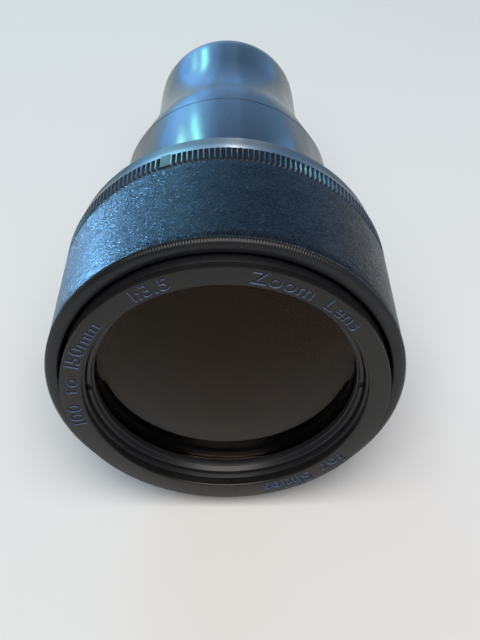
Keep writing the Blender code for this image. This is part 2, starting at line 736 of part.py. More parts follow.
def build_cam_sleeve(parts, skins):
    """Turns with the grip inside the housing, and drives the variator's followers."""
    outline = [
        (LIP_Y + cam_front, cam_bore),
        (CAM_END_Y, cam_bore),
        (CAM_END_Y, cam_radius),
        (LIP_Y + cam_front, cam_radius),
    ]
    sleeve = add_object("cam_sleeve", turned(outline, INNER_STEPS), skins["anodised"], parts["zoom"])
    slots = [
        curved_slot(
            cam_bore - OVERRUN, cam_radius + OVERRUN,
            (angle - ZOOM_MIN, VARIATOR_Y - variator_forward), (angle - ZOOM_MAX, VARIATOR_Y + variator_back),
            variator_reach,
        )
        for angle in even_angles(FOLLOWER_COUNT)
    ]
    add_cutter("variator_cam_slots", merge_shapes(slots), sleeve)
    holes = [
        radial_hole(DRIVE_SCREW_SHANK + FIT, cam_bore - OVERRUN, cam_radius + OVERRUN,
                    LIP_Y + drive_station, angle)
        for angle in even_angles(DRIVE_SCREW_COUNT, math.pi / 2)
    ]
    add_cutter("cam_screw_holes", merge_shapes(holes), sleeve)


def build_front_cell(parts, skins):
    """Holds the front glass, and slides on the housing with a slotted sleeve."""
    flange_radius = name_ring_radius - FLANGE_SETBACK
    outline = [
        (cell_front, cell_bore),
        (seat_front, cell_bore),
        (seat_front, cell_seat_bore),
        (cell_back, cell_seat_bore),
        (cell_back, sleeve_bore),
        (sleeve_end, sleeve_bore),
        (sleeve_end, sleeve_radius),
        (cell_back, sleeve_radius),
        (cell_back, cell_radius),
        (cell_front + CELL_FLANGE, cell_radius),
        (cell_front + CELL_FLANGE, flange_radius),
        (cell_front, flange_radius),
    ]
    cell = add_object(
        "front_cell", turned(outline, SHOWN_STEPS), skins["anodised"], parts["front"], place=(0, LIP_Y, 0),
    )
    key_y = LIP_Y + key_station
    slots = [
        curved_slot(
            sleeve_bore - OVERRUN, sleeve_radius + OVERRUN,
            (angle, key_y - front_retract), (angle, key_y + front_advance), key_reach, steps=1,
        )
        for angle in even_angles(FOLLOWER_COUNT, math.pi)
    ]
    add_cutter("key_slots", merge_shapes(slots), cell)
    holes = [
        radial_hole(FOLLOWER_RADIUS + FIT, sleeve_bore - OVERRUN, sleeve_radius + OVERRUN,
                    LIP_Y + follower_station, angle)
        for angle in even_angles(FOLLOWER_COUNT)
    ]
    add_cutter("follower_holes", merge_shapes(holes), cell)


def build_name_ring(parts, skins):
    """The flat ring round the glass, that carries the engraving."""
    outline = [
        (0, name_ring_bore + NAME_RING_EDGE),
        (NAME_RING_EDGE, name_ring_bore),
        (NAME_RING_THICKNESS, name_ring_bore),
        (NAME_RING_THICKNESS, name_ring_radius),
        (NAME_RING_EDGE, name_ring_radius),
        (0, name_ring_radius - NAME_RING_EDGE),
    ]
    along = LIP_Y - NAME_RING_PROUD
    add_object("name_ring", turned(outline, SHOWN_STEPS), skins["name_ring"], parts["front"], (0, along, 0))


def build_front_glass(parts, skins):
    """Threaded ring, front lens, spacer and second lens, stacked on the cell's seat."""
    keeper_bore = front_glass_radius - FRONT_KEEPER_WIDTH
    keeper = [
        (0, keeper_bore + FRONT_KEEPER_FLARE),
        (FRONT_KEEPER_LENGTH, keeper_bore),
        (FRONT_KEEPER_LENGTH, cell_bore - FIT),
        (0, cell_bore - FIT),
    ]
    along = LIP_Y + keeper_front
    ring = add_object(
        "front_retaining_ring", turned(keeper, SHOWN_STEPS), skins["anodised"], parts["front"], (0, along, 0),
    )
    cut_notches(ring, cell_bore, along)
    clear = front_glass_radius - KEEPER_RING_WIDTH - FIT
    front = lens_outline(front_glass_radius, clear, FRONT_EDGE_THICKNESS, FRONT_GLASS_BULGES)
    add_object(
        "front_element", turned(front, SHOWN_STEPS), skins["glass"], parts["front"],
        (0, LIP_Y + front_glass_front, 0),
    )
    spacer = keeper_outline(front_glass_radius, KEEPER_RING_WIDTH, FRONT_SPACER_LENGTH)
    add_object(
        "front_spacer", turned(spacer, INNER_STEPS), skins["anodised"], parts["front"],
        (0, LIP_Y + spacer_front, 0),
    )
    clear = cell_seat_bore - FIT
    second = lens_outline(front_glass_radius, clear, SECOND_EDGE_THICKNESS, SECOND_GLASS_BULGES)
    add_object(
        "second_element", turned(second, INNER_STEPS), skins["glass"], parts["front"],
        (0, LIP_Y + second_glass_front, 0),
    )


def build_front_followers(parts, skins):
    outline = [
        (sleeve_bore + FIT, 0),
        (sleeve_bore + FIT, FOLLOWER_RADIUS),
        (hub_radius - FIT, FOLLOWER_RADIUS),
        (hub_radius - FIT, 0),
    ]
    build_radial_pins(
        "front_follower", parts["front"], skins["brass"], outline,
        LIP_Y + follower_station, even_angles(FOLLOWER_COUNT),
    )


def build_variator(parts, skins):
    """The moving inner cell: stop, negative lens and threaded ring between its seat and front."""
    half = VARIATOR_CELL_LENGTH / 2
    bore = variator_glass_radius + FIT
    outline = [
        (-half, bore),
        (half - VARIATOR_SEAT, bore),
        (half - VARIATOR_SEAT, bore - VARIATOR_SEAT_STEP),
        (half, bore - VARIATOR_SEAT_STEP),
        (half, variator_radius),
        (-half, variator_radius),
    ]
    cell = add_object(
        "variator_cell", turned(outline, INNER_STEPS), skins["anodised"], parts["variator"],
        (0, VARIATOR_Y, 0),
    )
    holes = [
        radial_hole(VARIATOR_FOLLOWER_RADIUS + FIT, bore + FOLLOWER_FLOOR, variator_radius + OVERRUN,
                    VARIATOR_Y, angle)
        for angle in even_angles(FOLLOWER_COUNT)
    ]
    add_cutter("variator_follower_holes", merge_shapes(holes), cell)
    stop_y = half - VARIATOR_SEAT - FIT - STOP_THICKNESS
    stop = [
        (0, STOP_RADIUS),
        (STOP_THICKNESS, STOP_RADIUS),
        (STOP_THICKNESS, variator_glass_radius),
        (0, variator_glass_radius),
    ]
    add_object(
        "aperture_stop", turned(stop, INNER_STEPS), skins["stop"], parts["variator"],
        (0, VARIATOR_Y + stop_y, 0),
    )
    glass_y = stop_y - FIT - VARIATOR_EDGE_THICKNESS
    clear = variator_glass_radius - KEEPER_RING_WIDTH - FIT
    glass = lens_outline(variator_glass_radius, clear, VARIATOR_EDGE_THICKNESS, VARIATOR_GLASS_BULGES)
    add_object(
        "variator_element", turned(glass, INNER_STEPS), skins["glass"], parts["variator"],
        (0, VARIATOR_Y + glass_y, 0),
    )
    keeper_y = VARIATOR_Y + glass_y - FIT - VARIATOR_KEEPER_LENGTH
    keeper = keeper_outline(variator_glass_radius, KEEPER_RING_WIDTH, VARIATOR_KEEPER_LENGTH)
    ring = add_object(
        "variator_retaining_ring", turned(keeper, INNER_STEPS), skins["anodised"], parts["variator"],
        (0, keeper_y, 0),
    )
    cut_notches(ring, variator_glass_radius, keeper_y)


def build_variator_followers(parts, skins):
    base = variator_glass_radius + FIT + FOLLOWER_FLOOR + FIT
    tip = housing_bore + GROOVE_DEPTH - 2 * FIT
    outline = [
        (base, 0),
        (base, VARIATOR_FOLLOWER_RADIUS),
        (tip, VARIATOR_FOLLOWER_RADIUS),
        (tip, 0),
    ]
    build_radial_pins(
        "variator_follower", parts["variator"], skins["brass"], outline,
        VARIATOR_Y, even_angles(FOLLOWER_COUNT),
    )


def make_skins():
    return {
        "housing": make_material("housing_plastic", (0.012, 0.013, 0.016), 0.28),
        "grip": make_material("grip_plastic", (0.014, 0.014, 0.016), 0.42),
        "band": make_material("leatherette", (0.016, 0.018, 0.024), 0.5),
        "name_ring": make_material("name_ring_plastic", (0.016, 0.016, 0.018), 0.35),
        "anodised": make_material("black_anodised", (0.015, 0.015, 0.016), 0.5, metallic=0.6),
        "stop": make_material("stop_black", (0.01, 0.01, 0.01), 0.8),
        "steel": make_material("screw_steel", (0.55, 0.55, 0.56), 0.35, metallic=1.0),
        "brass": make_material("follower_brass", (0.72, 0.55, 0.25), 0.35, metallic=1.0),
        "glass": make_material("coated_glass", (0.92, 0.93, 0.90), 0.03, transmission=1.0),
    }


def main():
    clear_scene()
    parts = {
        "root": make_empty("fixed_pieces"),
        "zoom": make_empty("zoom_turn_axis"),
        "front": make_empty("front_slide_axis"),
        "variator": make_empty("variator_slide_axis"),
    }
    skins = make_skins()
    build_housing(parts, skins)
    build_barrel(parts, skins)
    build_barrel_screws(parts, skins)
    build_guide_keys(parts, skins)
    build_cam_keepers(parts, skins)
    build_rear_glass(parts, skins)
    build_grip(parts, skins)
    build_drive_screws(parts, skins)
    build_front_rim(parts, skins)
    build_band(parts, skins)
    build_rear_rim(parts, skins)
    build_cam_sleeve(parts, skins)
    build_front_cell(parts, skins)
    build_name_ring(parts, skins)
    build_front_glass(parts, skins)
    build_front_followers(parts, skins)
    build_variator(parts, skins)
    build_variator_followers(parts, skins)


main()
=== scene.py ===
import json
import math

import bpy
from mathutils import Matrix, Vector


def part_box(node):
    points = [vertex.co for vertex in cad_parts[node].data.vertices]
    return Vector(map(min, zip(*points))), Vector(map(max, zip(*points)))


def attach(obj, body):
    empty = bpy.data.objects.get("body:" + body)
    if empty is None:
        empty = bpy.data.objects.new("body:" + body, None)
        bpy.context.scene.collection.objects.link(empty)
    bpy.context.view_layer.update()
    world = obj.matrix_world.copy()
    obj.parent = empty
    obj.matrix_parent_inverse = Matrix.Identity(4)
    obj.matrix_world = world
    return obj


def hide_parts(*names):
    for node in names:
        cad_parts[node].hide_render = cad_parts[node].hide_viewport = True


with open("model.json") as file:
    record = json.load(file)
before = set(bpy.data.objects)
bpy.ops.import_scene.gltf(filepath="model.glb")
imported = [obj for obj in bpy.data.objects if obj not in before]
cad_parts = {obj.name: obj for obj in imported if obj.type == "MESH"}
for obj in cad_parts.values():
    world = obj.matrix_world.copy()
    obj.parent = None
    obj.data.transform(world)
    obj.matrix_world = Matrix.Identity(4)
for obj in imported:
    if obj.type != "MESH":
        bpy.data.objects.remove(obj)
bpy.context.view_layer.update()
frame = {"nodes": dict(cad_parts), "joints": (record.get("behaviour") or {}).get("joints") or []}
print("frame loaded")

mm = 0.001
fullTurn = 2 * math.pi


def along(node):
    low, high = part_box(node)
    return low.y, high.y


def middleOf(node):
    return sum(along(node)) / 2


def reach(node):
    low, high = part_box(node)
    return max(high.x, -low.x, high.z, -low.z)


lipY, rimBackY = along("front_rim")
nameFaceY, nameBackY = along("name_ring")
gripRadius = reach("front_rim")
nameRingWidth = 5.95 * mm


def startFresh():
    if bpy.context.mode != "OBJECT":
        bpy.ops.object.mode_set(mode="OBJECT")
    bpy.ops.object.select_all(action="DESELECT")


def activate(obj):
    startFresh()
    obj.select_set(True)
    bpy.context.view_layer.objects.active = obj


def editOf(obj):
    activate(obj)
    bpy.ops.object.mode_set(mode="EDIT")


def pickVertices(obj, wanted):
    # selects, in edit mode, the vertices whose place passes the test
    bpy.ops.object.mode_set(mode="OBJECT")
    for edge in obj.data.edges:
        edge.select = False
    for face in obj.data.polygons:
        face.select = False
    for vertex in obj.data.vertices:
        vertex.select = wanted(vertex.co)
    bpy.ops.object.mode_set(mode="EDIT")
    bpy.ops.mesh.select_mode(type="VERT")


def radiusOf(co):
    return math.hypot(co.x, co.z)


def angleOf(co):
    # from the top (+Z) towards +X, in degrees
    return math.degrees(math.atan2(co.x, co.z))


def drawOutline(name, outline, closed):
    # the outline holds (place along the axis, radius), in the plane through the axis and the top
    startFresh()
    bpy.ops.mesh.primitive_plane_add(size=mm, location=(0, 0, 0))
    obj = bpy.context.active_object
    obj.name = obj.data.name = name
    bpy.ops.object.mode_set(mode="EDIT")
    bpy.ops.mesh.merge(type="CENTER")
    y0, r0 = outline[0]
    bpy.ops.transform.translate(value=(0, y0, r0))
    for (y1, r1), (y2, r2) in zip(outline, outline[1:]):
        bpy.ops.mesh.extrude_vertices_move(TRANSFORM_OT_translate={"value": (0, y2 - y1, r2 - r1)})
    if closed:
        bpy.ops.mesh.select_all(action="SELECT")
        bpy.ops.mesh.edge_face_add()
        if closed == "wire":
            bpy.ops.mesh.delete(type="ONLY_FACE")
    return obj


def closeUp(obj, distance=0.002 * mm):
    # doubles merged and normals turned out
    editOf(obj)
    bpy.ops.mesh.select_all(action="SELECT")
    bpy.ops.mesh.remove_doubles(threshold=distance)
    bpy.ops.mesh.normals_make_consistent(inside=False)
    bpy.ops.object.mode_set(mode="OBJECT")


def turnPiece(name, outline, steps, onAxis=False):
    obj = drawOutline(name, outline, False if onAxis else "wire")
    bpy.ops.mesh.select_all(action="SELECT")
    bpy.ops.mesh.spin(steps=steps, angle=fullTurn, center=(0, 0, 0), axis=(0, 1, 0))
    closeUp(obj)
    return obj


def softenEdges(obj, width, segments=2, angle=28):
    activate(obj)
    bevel = obj.modifiers.new("soft edges", "BEVEL")
    bevel.width = width
    bevel.segments = segments
    bevel.limit_method = "ANGLE"
    bevel.angle_limit = math.radians(angle)
    bevel.harden_normals = False
    bpy.ops.object.modifier_apply(modifier=bevel.name)


def cutAway(obj, cutter, solver="EXACT"):
    activate(obj)
    cut = obj.modifiers.new("cut", "BOOLEAN")
    cut.object = cutter
    cut.operation = "DIFFERENCE"
    cut.solver = solver
    bpy.ops.object.modifier_apply(modifier=cut.name)
    bpy.data.objects.remove(cutter, do_unlink=True)


def joinAll(parts):
    startFresh()
    for part in parts:
        part.select_set(True)
    bpy.context.view_layer.objects.active = parts[0]
    bpy.ops.object.join()
    return bpy.context.active_object


def slotCutter(inner, outer, y1, y2, startAngle, endAngle):
    # a block swept round the axis, between two angles in degrees from the top towards +X
    cutter = drawOutline("slot cutter", [(y1, inner), (y1, outer), (y2, outer), (y2, inner)], "face")
    bpy.ops.mesh.select_all(action="SELECT")
    bpy.ops.mesh.spin(steps=24, angle=math.radians(endAngle - startAngle), center=(0, 0, 0), axis=(0, 1, 0))
    closeUp(cutter)
    lowest = min(angleOf(vertex.co) for vertex in cutter.data.vertices)
    turnAbout(cutter, startAngle - lowest)
    return cutter


def turnAbout(obj, degrees):
    # turned about the optical axis and applied
    activate(obj)
    obj.rotation_euler = (0, math.radians(degrees), 0)
    bpy.ops.object.transform_apply(location=True, rotation=True, scale=True)


def boxCutter(size, centre, degrees=0):
    startFresh()
    bpy.ops.mesh.primitive_cube_add(size=1, location=centre, scale=size)
    cutter = bpy.context.active_object
    bpy.ops.object.transform_apply(location=True, rotation=True, scale=True)
    turnAbout(cutter, degrees)
    return cutter


def holeCutter(radius, inner, outer, y, degrees):
    # a round hole that points out from the axis
    startFresh()
    bpy.ops.mesh.primitive_cylinder_add(vertices=32, radius=radius, depth=outer - inner,
                                        location=(0, y, (inner + outer) / 2))
    cutter = bpy.context.active_object
    bpy.ops.object.transform_apply(location=True, rotation=True, scale=True)
    turnAbout(cutter, degrees)
    return cutter


def arcPoints(centre, radius, start, end, count):
    # points of an arc in the outline's plane; angles in degrees, 0 along +Y and 90 outward
    points = []
    for step in range(count + 1):
        angle = math.radians(start + (end - start) * step / count)
        points.append((centre[0] + radius * math.cos(angle), centre[1] + radius * math.sin(angle)))
    return points


def easeCurve(start, corner, end, count):
    # points of a curve from start to end that bends towards the corner
    points = []
    for step in range(count + 1):
        share = step / count
        rest = 1 - share
        points.append(tuple(
            rest ** 2 * a + 2 * share * rest * b + share * share * c for a, b, c in zip(start, corner, end)
        ))
    return points


def finishPiece(obj, node, body, material, smoothAngle=30):
    activate(obj)
    bpy.ops.object.shade_smooth_by_angle(angle=math.radians(smoothAngle))
    obj.data.materials.clear()
    obj.data.materials.append(material)
    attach(obj, body)
    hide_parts(node)
    return obj


def newGroup(name, inputs, outputs):
    group = bpy.data.node_groups.new(name, "ShaderNodeTree")
    for socketName, kind, value in inputs:
        socket = group.interface.new_socket(socketName, in_out="INPUT", socket_type=kind)
        if value is not None:
            socket.default_value = value
    for socketName, kind in outputs:
        group.interface.new_socket(socketName, in_out="OUTPUT", socket_type=kind)
    return group, group.nodes.new("NodeGroupInput"), group.nodes.new("NodeGroupOutput")


def mathNode(tree, operation, first, second=None, clamp=False):
    node = tree.nodes.new("ShaderNodeMath")
    node.operation = operation
    node.use_clamp = clamp
    for index, value in enumerate((first, second)):
        if value is None:
            continue
        if isinstance(value, (int, float)):
            node.inputs[index].default_value = value
        else:
            tree.links.new(value, node.inputs[index])
    return node.outputs[0]


def rampNode(tree, value, low, high, fromLow=0.0, toHigh=1.0):
    node = tree.nodes.new("ShaderNodeMapRange")
    node.interpolation_type = "SMOOTHSTEP"
    node.inputs["From Min"].default_value = low
    node.inputs["From Max"].default_value = high
    node.inputs["To Min"].default_value = fromLow
    node.inputs["To Max"].default_value = toHigh
    tree.links.new(value, node.inputs["Value"])
    return node.outputs[0]


def noiseNode(tree, vector, scale, detail=3, roughness=0.55):
    node = tree.nodes.new("ShaderNodeTexNoise")
    node.inputs["Scale"].default_value = scale
    node.inputs["Detail"].default_value = detail
    node.inputs["Roughness"].default_value = roughness
    tree.links.new(vector, node.inputs["Vector"])
    return node.outputs["Fac"]


def mixColour(tree, mask, first, second):
    node = tree.nodes.new("ShaderNodeMix")
    node.data_type = "RGBA"
    for value, socket in ((mask, node.inputs[0]), (first, node.inputs[6]), (second, node.inputs[7])):
        if isinstance(value, tuple):
            socket.default_value = (*value, 1)
        else:
            tree.links.new(value, socket)
    return node.outputs[2]


def buildAroundAxis():
    # object place -> (arc length at the grip's radius, place along the axis, distance from it), all in mm
    group, enter, leave = newGroup(
        "aroundAxis",
        [("Vector", "NodeSocketVector", None), ("Seam", "NodeSocketFloat", 0.0)],
        [("Vector", "NodeSocketVector"), ("Arc", "NodeSocketFloat"), ("Along", "NodeSocketFloat"),
         ("Radius", "NodeSocketFloat")],
    )
    turn = group.nodes.new("ShaderNodeVectorRotate")
    turn.rotation_type = "Y_AXIS"
    group.links.new(enter.outputs["Vector"], turn.inputs["Vector"])
    group.links.new(enter.outputs["Seam"], turn.inputs["Angle"])
    parts = group.nodes.new("ShaderNodeSeparateXYZ")
    group.links.new(turn.outputs[0], parts.inputs[0])
    angle = mathNode(group, "ARCTAN2", parts.outputs["X"], parts.outputs["Z"])
    arc = mathNode(group, "MULTIPLY", angle, gripRadius / mm)
    place = mathNode(group, "MULTIPLY", parts.outputs["Y"], 1 / mm)
    square = mathNode(group, "ADD", mathNode(group, "POWER", parts.outputs["X"], 2.0),
                      mathNode(group, "POWER", parts.outputs["Z"], 2.0))
    radius = mathNode(group, "MULTIPLY", mathNode(group, "SQRT", square), 1 / mm)
    whole = group.nodes.new("ShaderNodeCombineXYZ")
    for value, socket in ((arc, 0), (place, 1), (radius, 2)):
        group.links.new(value, whole.inputs[socket])
    group.links.new(whole.outputs[0], leave.inputs["Vector"])
    group.links.new(arc, leave.inputs["Arc"])
    group.links.new(place, leave.inputs["Along"])
    group.links.new(radius, leave.inputs["Radius"])
    return group


def buildMouldGrain():
    # the faint unevenness of a moulded surface: a height, and two masks for colour and roughness
    group, enter, leave = newGroup(
        "mouldGrain",
        [("Vector", "NodeSocketVector", None)],
        [("Height", "NodeSocketFloat"), ("Patches", "NodeSocketFloat"), ("Smears", "NodeSocketFloat")],
    )
    fine = noiseNode(group, enter.outputs["Vector"], 2600, 2)
    broad = noiseNode(group, enter.outputs["Vector"], 45, 3)
    waves = noiseNode(group, enter.outputs["Vector"], 160, 2)
    height = mathNode(group, "ADD", mathNode(group, "MULTIPLY", fine, 0.25),
                      mathNode(group, "MULTIPLY", waves, 0.75))
    stretch = group.nodes.new("ShaderNodeMapping")
    stretch.inputs["Scale"].default_value = (1, 0.12, 1)
    group.links.new(enter.outputs["Vector"], stretch.inputs["Vector"])
    smears = noiseNode(group, stretch.outputs[0], 150, 4, 0.6)
    group.links.new(height, leave.inputs["Height"])
    group.links.new(rampNode(group, broad, 0.3, 0.7), leave.inputs["Patches"])
    group.links.new(rampNode(group, smears, 0.45, 0.7), leave.inputs["Smears"])
    return group


def buildEdgeWear():
    # a broken line of wear where the value comes near the edge, both in mm
    group, enter, leave = newGroup(
        "edgeWear",
        [("Vector", "NodeSocketVector", None), ("Value", "NodeSocketFloat", 0.0),
         ("Edge", "NodeSocketFloat", 0.0), ("Width", "NodeSocketFloat", 0.5),
         ("Amount", "NodeSocketFloat", 0.5)],
        [("Mask", "NodeSocketFloat")],
    )
    distance = mathNode(group, "ABSOLUTE", mathNode(group, "SUBTRACT", enter.outputs["Value"],
                                                     enter.outputs["Edge"]))
    near = mathNode(group, "SUBTRACT", 1.0, mathNode(group, "DIVIDE", distance, enter.outputs["Width"]),
                    clamp=True)
    rubbed = noiseNode(group, enter.outputs["Vector"], 28, 2)
    chips = noiseNode(group, enter.outputs["Vector"], 900, 3, 0.7)
    spread = mathNode(group, "ADD", mathNode(group, "MULTIPLY", rubbed, 0.9),
                      mathNode(group, "MULTIPLY", chips, 0.6))
    total = mathNode(group, "ADD", mathNode(group, "MULTIPLY", near, 0.55),
                     mathNode(group, "MULTIPLY", spread, enter.outputs["Amount"]))
    mask = mathNode(group, "MULTIPLY", rampNode(group, total, 0.86, 0.98), rampNode(group, near, 0.0, 0.1))
    group.links.new(mask, leave.inputs["Mask"])
    return group


def buildDust():
    # sparse specks
    group, enter, leave = newGroup(
        "dust",
        [("Vector", "NodeSocketVector", None), ("Scale", "NodeSocketFloat", 200.0),
         ("Size", "NodeSocketFloat", 0.06)],
        [("Mask", "NodeSocketFloat")],
    )
    cells = group.nodes.new("ShaderNodeTexVoronoi")
    group.links.new(enter.outputs["Vector"], cells.inputs["Vector"])
    group.links.new(enter.outputs["Scale"], cells.inputs["Scale"])
    chance = group.nodes.new("ShaderNodeSeparateColor")
    group.links.new(cells.outputs["Color"], chance.inputs[0])
    size = mathNode(group, "MULTIPLY", enter.outputs["Size"], chance.outputs[0])
    speck = mathNode(group, "LESS_THAN", cells.outputs["Distance"], size)
    kept = mathNode(group, "GREATER_THAN", chance.outputs[1], 0.7)
    group.links.new(mathNode(group, "MULTIPLY", speck, kept), leave.inputs["Mask"])
    return group


aroundAxis = buildAroundAxis()
mouldGrain = buildMouldGrain()
edgeWear = buildEdgeWear()
dust = buildDust()


def useGroup(tree, group, vector, **values):
    node = tree.nodes.new("ShaderNodeGroup")
    node.node_tree = group
    tree.links.new(vector, node.inputs["Vector"])
    for name, value in values.items():
        if isinstance(value, (int, float)):
            node.inputs[name].default_value = value
        else:
            tree.links.new(value, node.inputs[name])
    return node


def newMaterial(name, look):
    # the shader and the object's own coordinates
    material = bpy.data.materials.new(name)
    material.use_nodes = True
    tree = material.node_tree
    shader = tree.nodes["Principled BSDF"]
    shader.inputs["Base Color"].default_value = (*look["colour"], 1)
    shader.inputs["Roughness"].default_value = look["roughness"]
    shader.inputs["Metallic"].default_value = look.get("metallic", 0)
    shader.inputs["IOR"].default_value = look.get("ior", 1.5)
    shader.inputs["Coat Weight"].default_value = look.get("coat", 0)
    shader.inputs["Coat Roughness"].default_value = look.get("coatRoughness", 0.1)
    shader.inputs["Specular IOR Level"].default_value = look.get("specular", 0.5)
    coordinates = tree.nodes.new("ShaderNodeTexCoord").outputs["Object"]
    return material, tree, shader, coordinates


def addBump(tree, shader, height, distance):
    bump = tree.nodes.new("ShaderNodeBump")
    bump.inputs["Distance"].default_value = distance
    tree.links.new(height, bump.inputs["Height"])
    tree.links.new(bump.outputs[0], shader.inputs["Normal"])


def mulNode(tree, first, second):
    return mathNode(tree, "MULTIPLY", first, second)


def apartNode(tree, value, centre):
    # how far the value is from the centre, either way
    return mathNode(tree, "ABSOLUTE", mathNode(tree, "SUBTRACT", value, centre))


def paintLetterLightAndShade(tree, place, colour, look):
    # painted light and shade in the letters: a painted bluish highlight on their walls and painted shade on
    # their floor, where the surface lies below the ring's face, away from the ring's edges
    below = mathNode(tree, "SUBTRACT", place.outputs["Along"], nameFaceY / mm)
    wall = mathNode(tree, "GREATER_THAN", below, look["wallTop"])
    floor = mathNode(tree, "GREATER_THAN", below, look["wallFoot"])
    middle = (reach("name_ring") - nameRingWidth / 2) / mm
    inRing = mathNode(tree, "LESS_THAN", apartNode(tree, place.outputs["Radius"], middle),
                      nameRingWidth / 2 / mm - look["edgeKept"])
    colour = mixColour(tree, mulNode(tree, wall, inRing), colour, look["paintedWallHighlight"])
    return mixColour(tree, mulNode(tree, floor, inRing), colour, look["paintedFloorShade"])


def dullGrooves(tree, place, look):
    # extra roughness between the teeth and on the plain pad
    crest = reach("rear_rim") / mm
    floor = crest - look["grooves"]
    deep = rampNode(tree, place.outputs["Radius"], floor, crest - 0.1, look["grooveDull"], 0.0)
    padArc = math.radians(look["padAngle"]) * gripRadius / mm
    beside = apartNode(tree, place.outputs["Arc"], padArc)
    pad = mulNode(tree, mathNode(tree, "LESS_THAN", beside, look["padReach"]),
                  mathNode(tree, "GREATER_THAN", place.outputs["Radius"], crest - look["padDepth"]))
    return mathNode(tree, "ADD", deep, mulNode(tree, pad, look["padDull"]))


plasticDust = {"scale": 260, "size": 0.09, "amount": 0.35, "colour": (0.32, 0.3, 0.27)}


def mouldedPlastic(name, look):
    material, tree, shader, coordinates = newMaterial(name, look)
    grain = useGroup(tree, mouldGrain, coordinates)
    if "edges" in look or "paintedWallHighlight" in look:
        place = useGroup(tree, aroundAxis, coordinates)
    specks = useGroup(tree, dust, coordinates, Scale=plasticDust["scale"], Size=plasticDust["size"])
    dusty = mulNode(tree, specks.outputs[0], look.get("dust", plasticDust["amount"]))
    colour = mixColour(tree, grain.outputs["Patches"], look["colour"], look["second"])
    colour = mixColour(tree, dusty, colour, plasticDust["colour"])
    for output, edge, width, amount in look.get("edges", []):
        wear = useGroup(tree, edgeWear, coordinates, Value=place.outputs[output], Edge=edge / mm,
                        Width=width, Amount=amount)
        colour = mixColour(tree, wear.outputs[0], colour, look["wornColour"])
    # painted highlight on the letters' walls and painted shade on their floors
    if "paintedWallHighlight" in look:
        colour = paintLetterLightAndShade(tree, place, colour, look)
    tree.links.new(colour, shader.inputs["Base Color"])
    dullest = look["roughness"] + look["spread"]
    rough = rampNode(tree, grain.outputs["Patches"], 0, 1, look["roughness"], dullest)
    rough = mathNode(tree, "ADD", rough, mulNode(tree, grain.outputs["Smears"], look["smear"]))
    if "grooves" in look:
        rough = mathNode(tree, "ADD", rough, dullGrooves(tree, place, look))
    tree.links.new(rough, shader.inputs["Roughness"])
    addBump(tree, shader, grain.outputs["Height"], look["bump"] * mm)
    return material


def cellEdges(tree, vector, scale, reachOut):
    # 0 on the lines between cells, 1 inside them
    cells = tree.nodes.new("ShaderNodeTexVoronoi")
    cells.feature = "DISTANCE_TO_EDGE"
    cells.inputs["Scale"].default_value = scale
    tree.links.new(vector, cells.inputs["Vector"])
    return rampNode(tree, cells.outputs["Distance"], 0.0, reachOut)


def leatherSkin(name, look):
    # creased cells with a fine pore pattern between them and painted shade darkening the creases; the
    # pattern's join lies under the butt seam
    material, tree, shader, coordinates = newMaterial(name, look)
    place = useGroup(tree, aroundAxis, coordinates, Seam=math.radians(180 - look["seamAngle"]))
    drift = tree.nodes.new("ShaderNodeTexNoise")
    drift.inputs["Scale"].default_value = look["driftScale"]
    drift.inputs["Detail"].default_value = 3
    tree.links.new(place.outputs["Vector"], drift.inputs["Vector"])
    shift = tree.nodes.new("ShaderNodeVectorMath")
    shift.operation = "MULTIPLY_ADD"
    tree.links.new(drift.outputs["Color"], shift.inputs[0])
    shift.inputs[1].default_value = (look["drift"],) * 3
    tree.links.new(place.outputs["Vector"], shift.inputs[2])
    stretch = tree.nodes.new("ShaderNodeMapping")
    stretch.inputs["Rotation"].default_value = (0, 0, math.radians(look["creaseLean"]))
    stretch.inputs["Scale"].default_value = look["creaseScale"]
    tree.links.new(shift.outputs[0], stretch.inputs["Vector"])
    pillows = cellEdges(tree, stretch.outputs[0], 1.0, 0.3)
    pores = cellEdges(tree, shift.outputs[0], look["poreScale"], 0.25)
    fine = noiseNode(tree, place.outputs["Vector"], look["fineScale"], 3)
    broad = noiseNode(tree, place.outputs["Vector"], look["broadScale"], 3)
    height = mathNode(tree, "ADD", mulNode(tree, pillows, look["pillows"]),
                      mulNode(tree, pores, look["pores"]))
    height = mathNode(tree, "ADD", height, mulNode(tree, fine, look["fine"]))
    # painted shade: the creases are darkened in the colour
    creases = mathNode(tree, "SUBTRACT", 1.0, pillows)
    colour = mixColour(tree, creases, look["colour"], look["paintedCreaseShade"])
    colour = mixColour(tree, rampNode(tree, broad, 0.4, 0.65, 0, look["rubbing"]), colour, look["rubbed"])
    specks = useGroup(tree, dust, coordinates, Scale=look["dustScale"], Size=look["dustSize"])
    colour = mixColour(tree, mulNode(tree, specks.outputs[0], look["dust"]), colour, look["dustColour"])
    for edge in along("leatherette_band"):
        wear = useGroup(tree, edgeWear, coordinates, Value=place.outputs["Along"], Edge=edge / mm,
                        Width=look["wearWidth"], Amount=look["wear"])
        colour = mixColour(tree, wear.outputs[0], colour, look["wornColour"])
    tree.links.new(colour, shader.inputs["Base Color"])
    rough = rampNode(tree, broad, 0.35, 0.65, look["roughness"] + 0.03, look["roughness"] - 0.02)
    tree.links.new(mathNode(tree, "ADD", rough, mulNode(tree, creases, look["creaseDull"])),
                   shader.inputs["Roughness"])
    addBump(tree, shader, height, look["bump"] * mm)
    return material


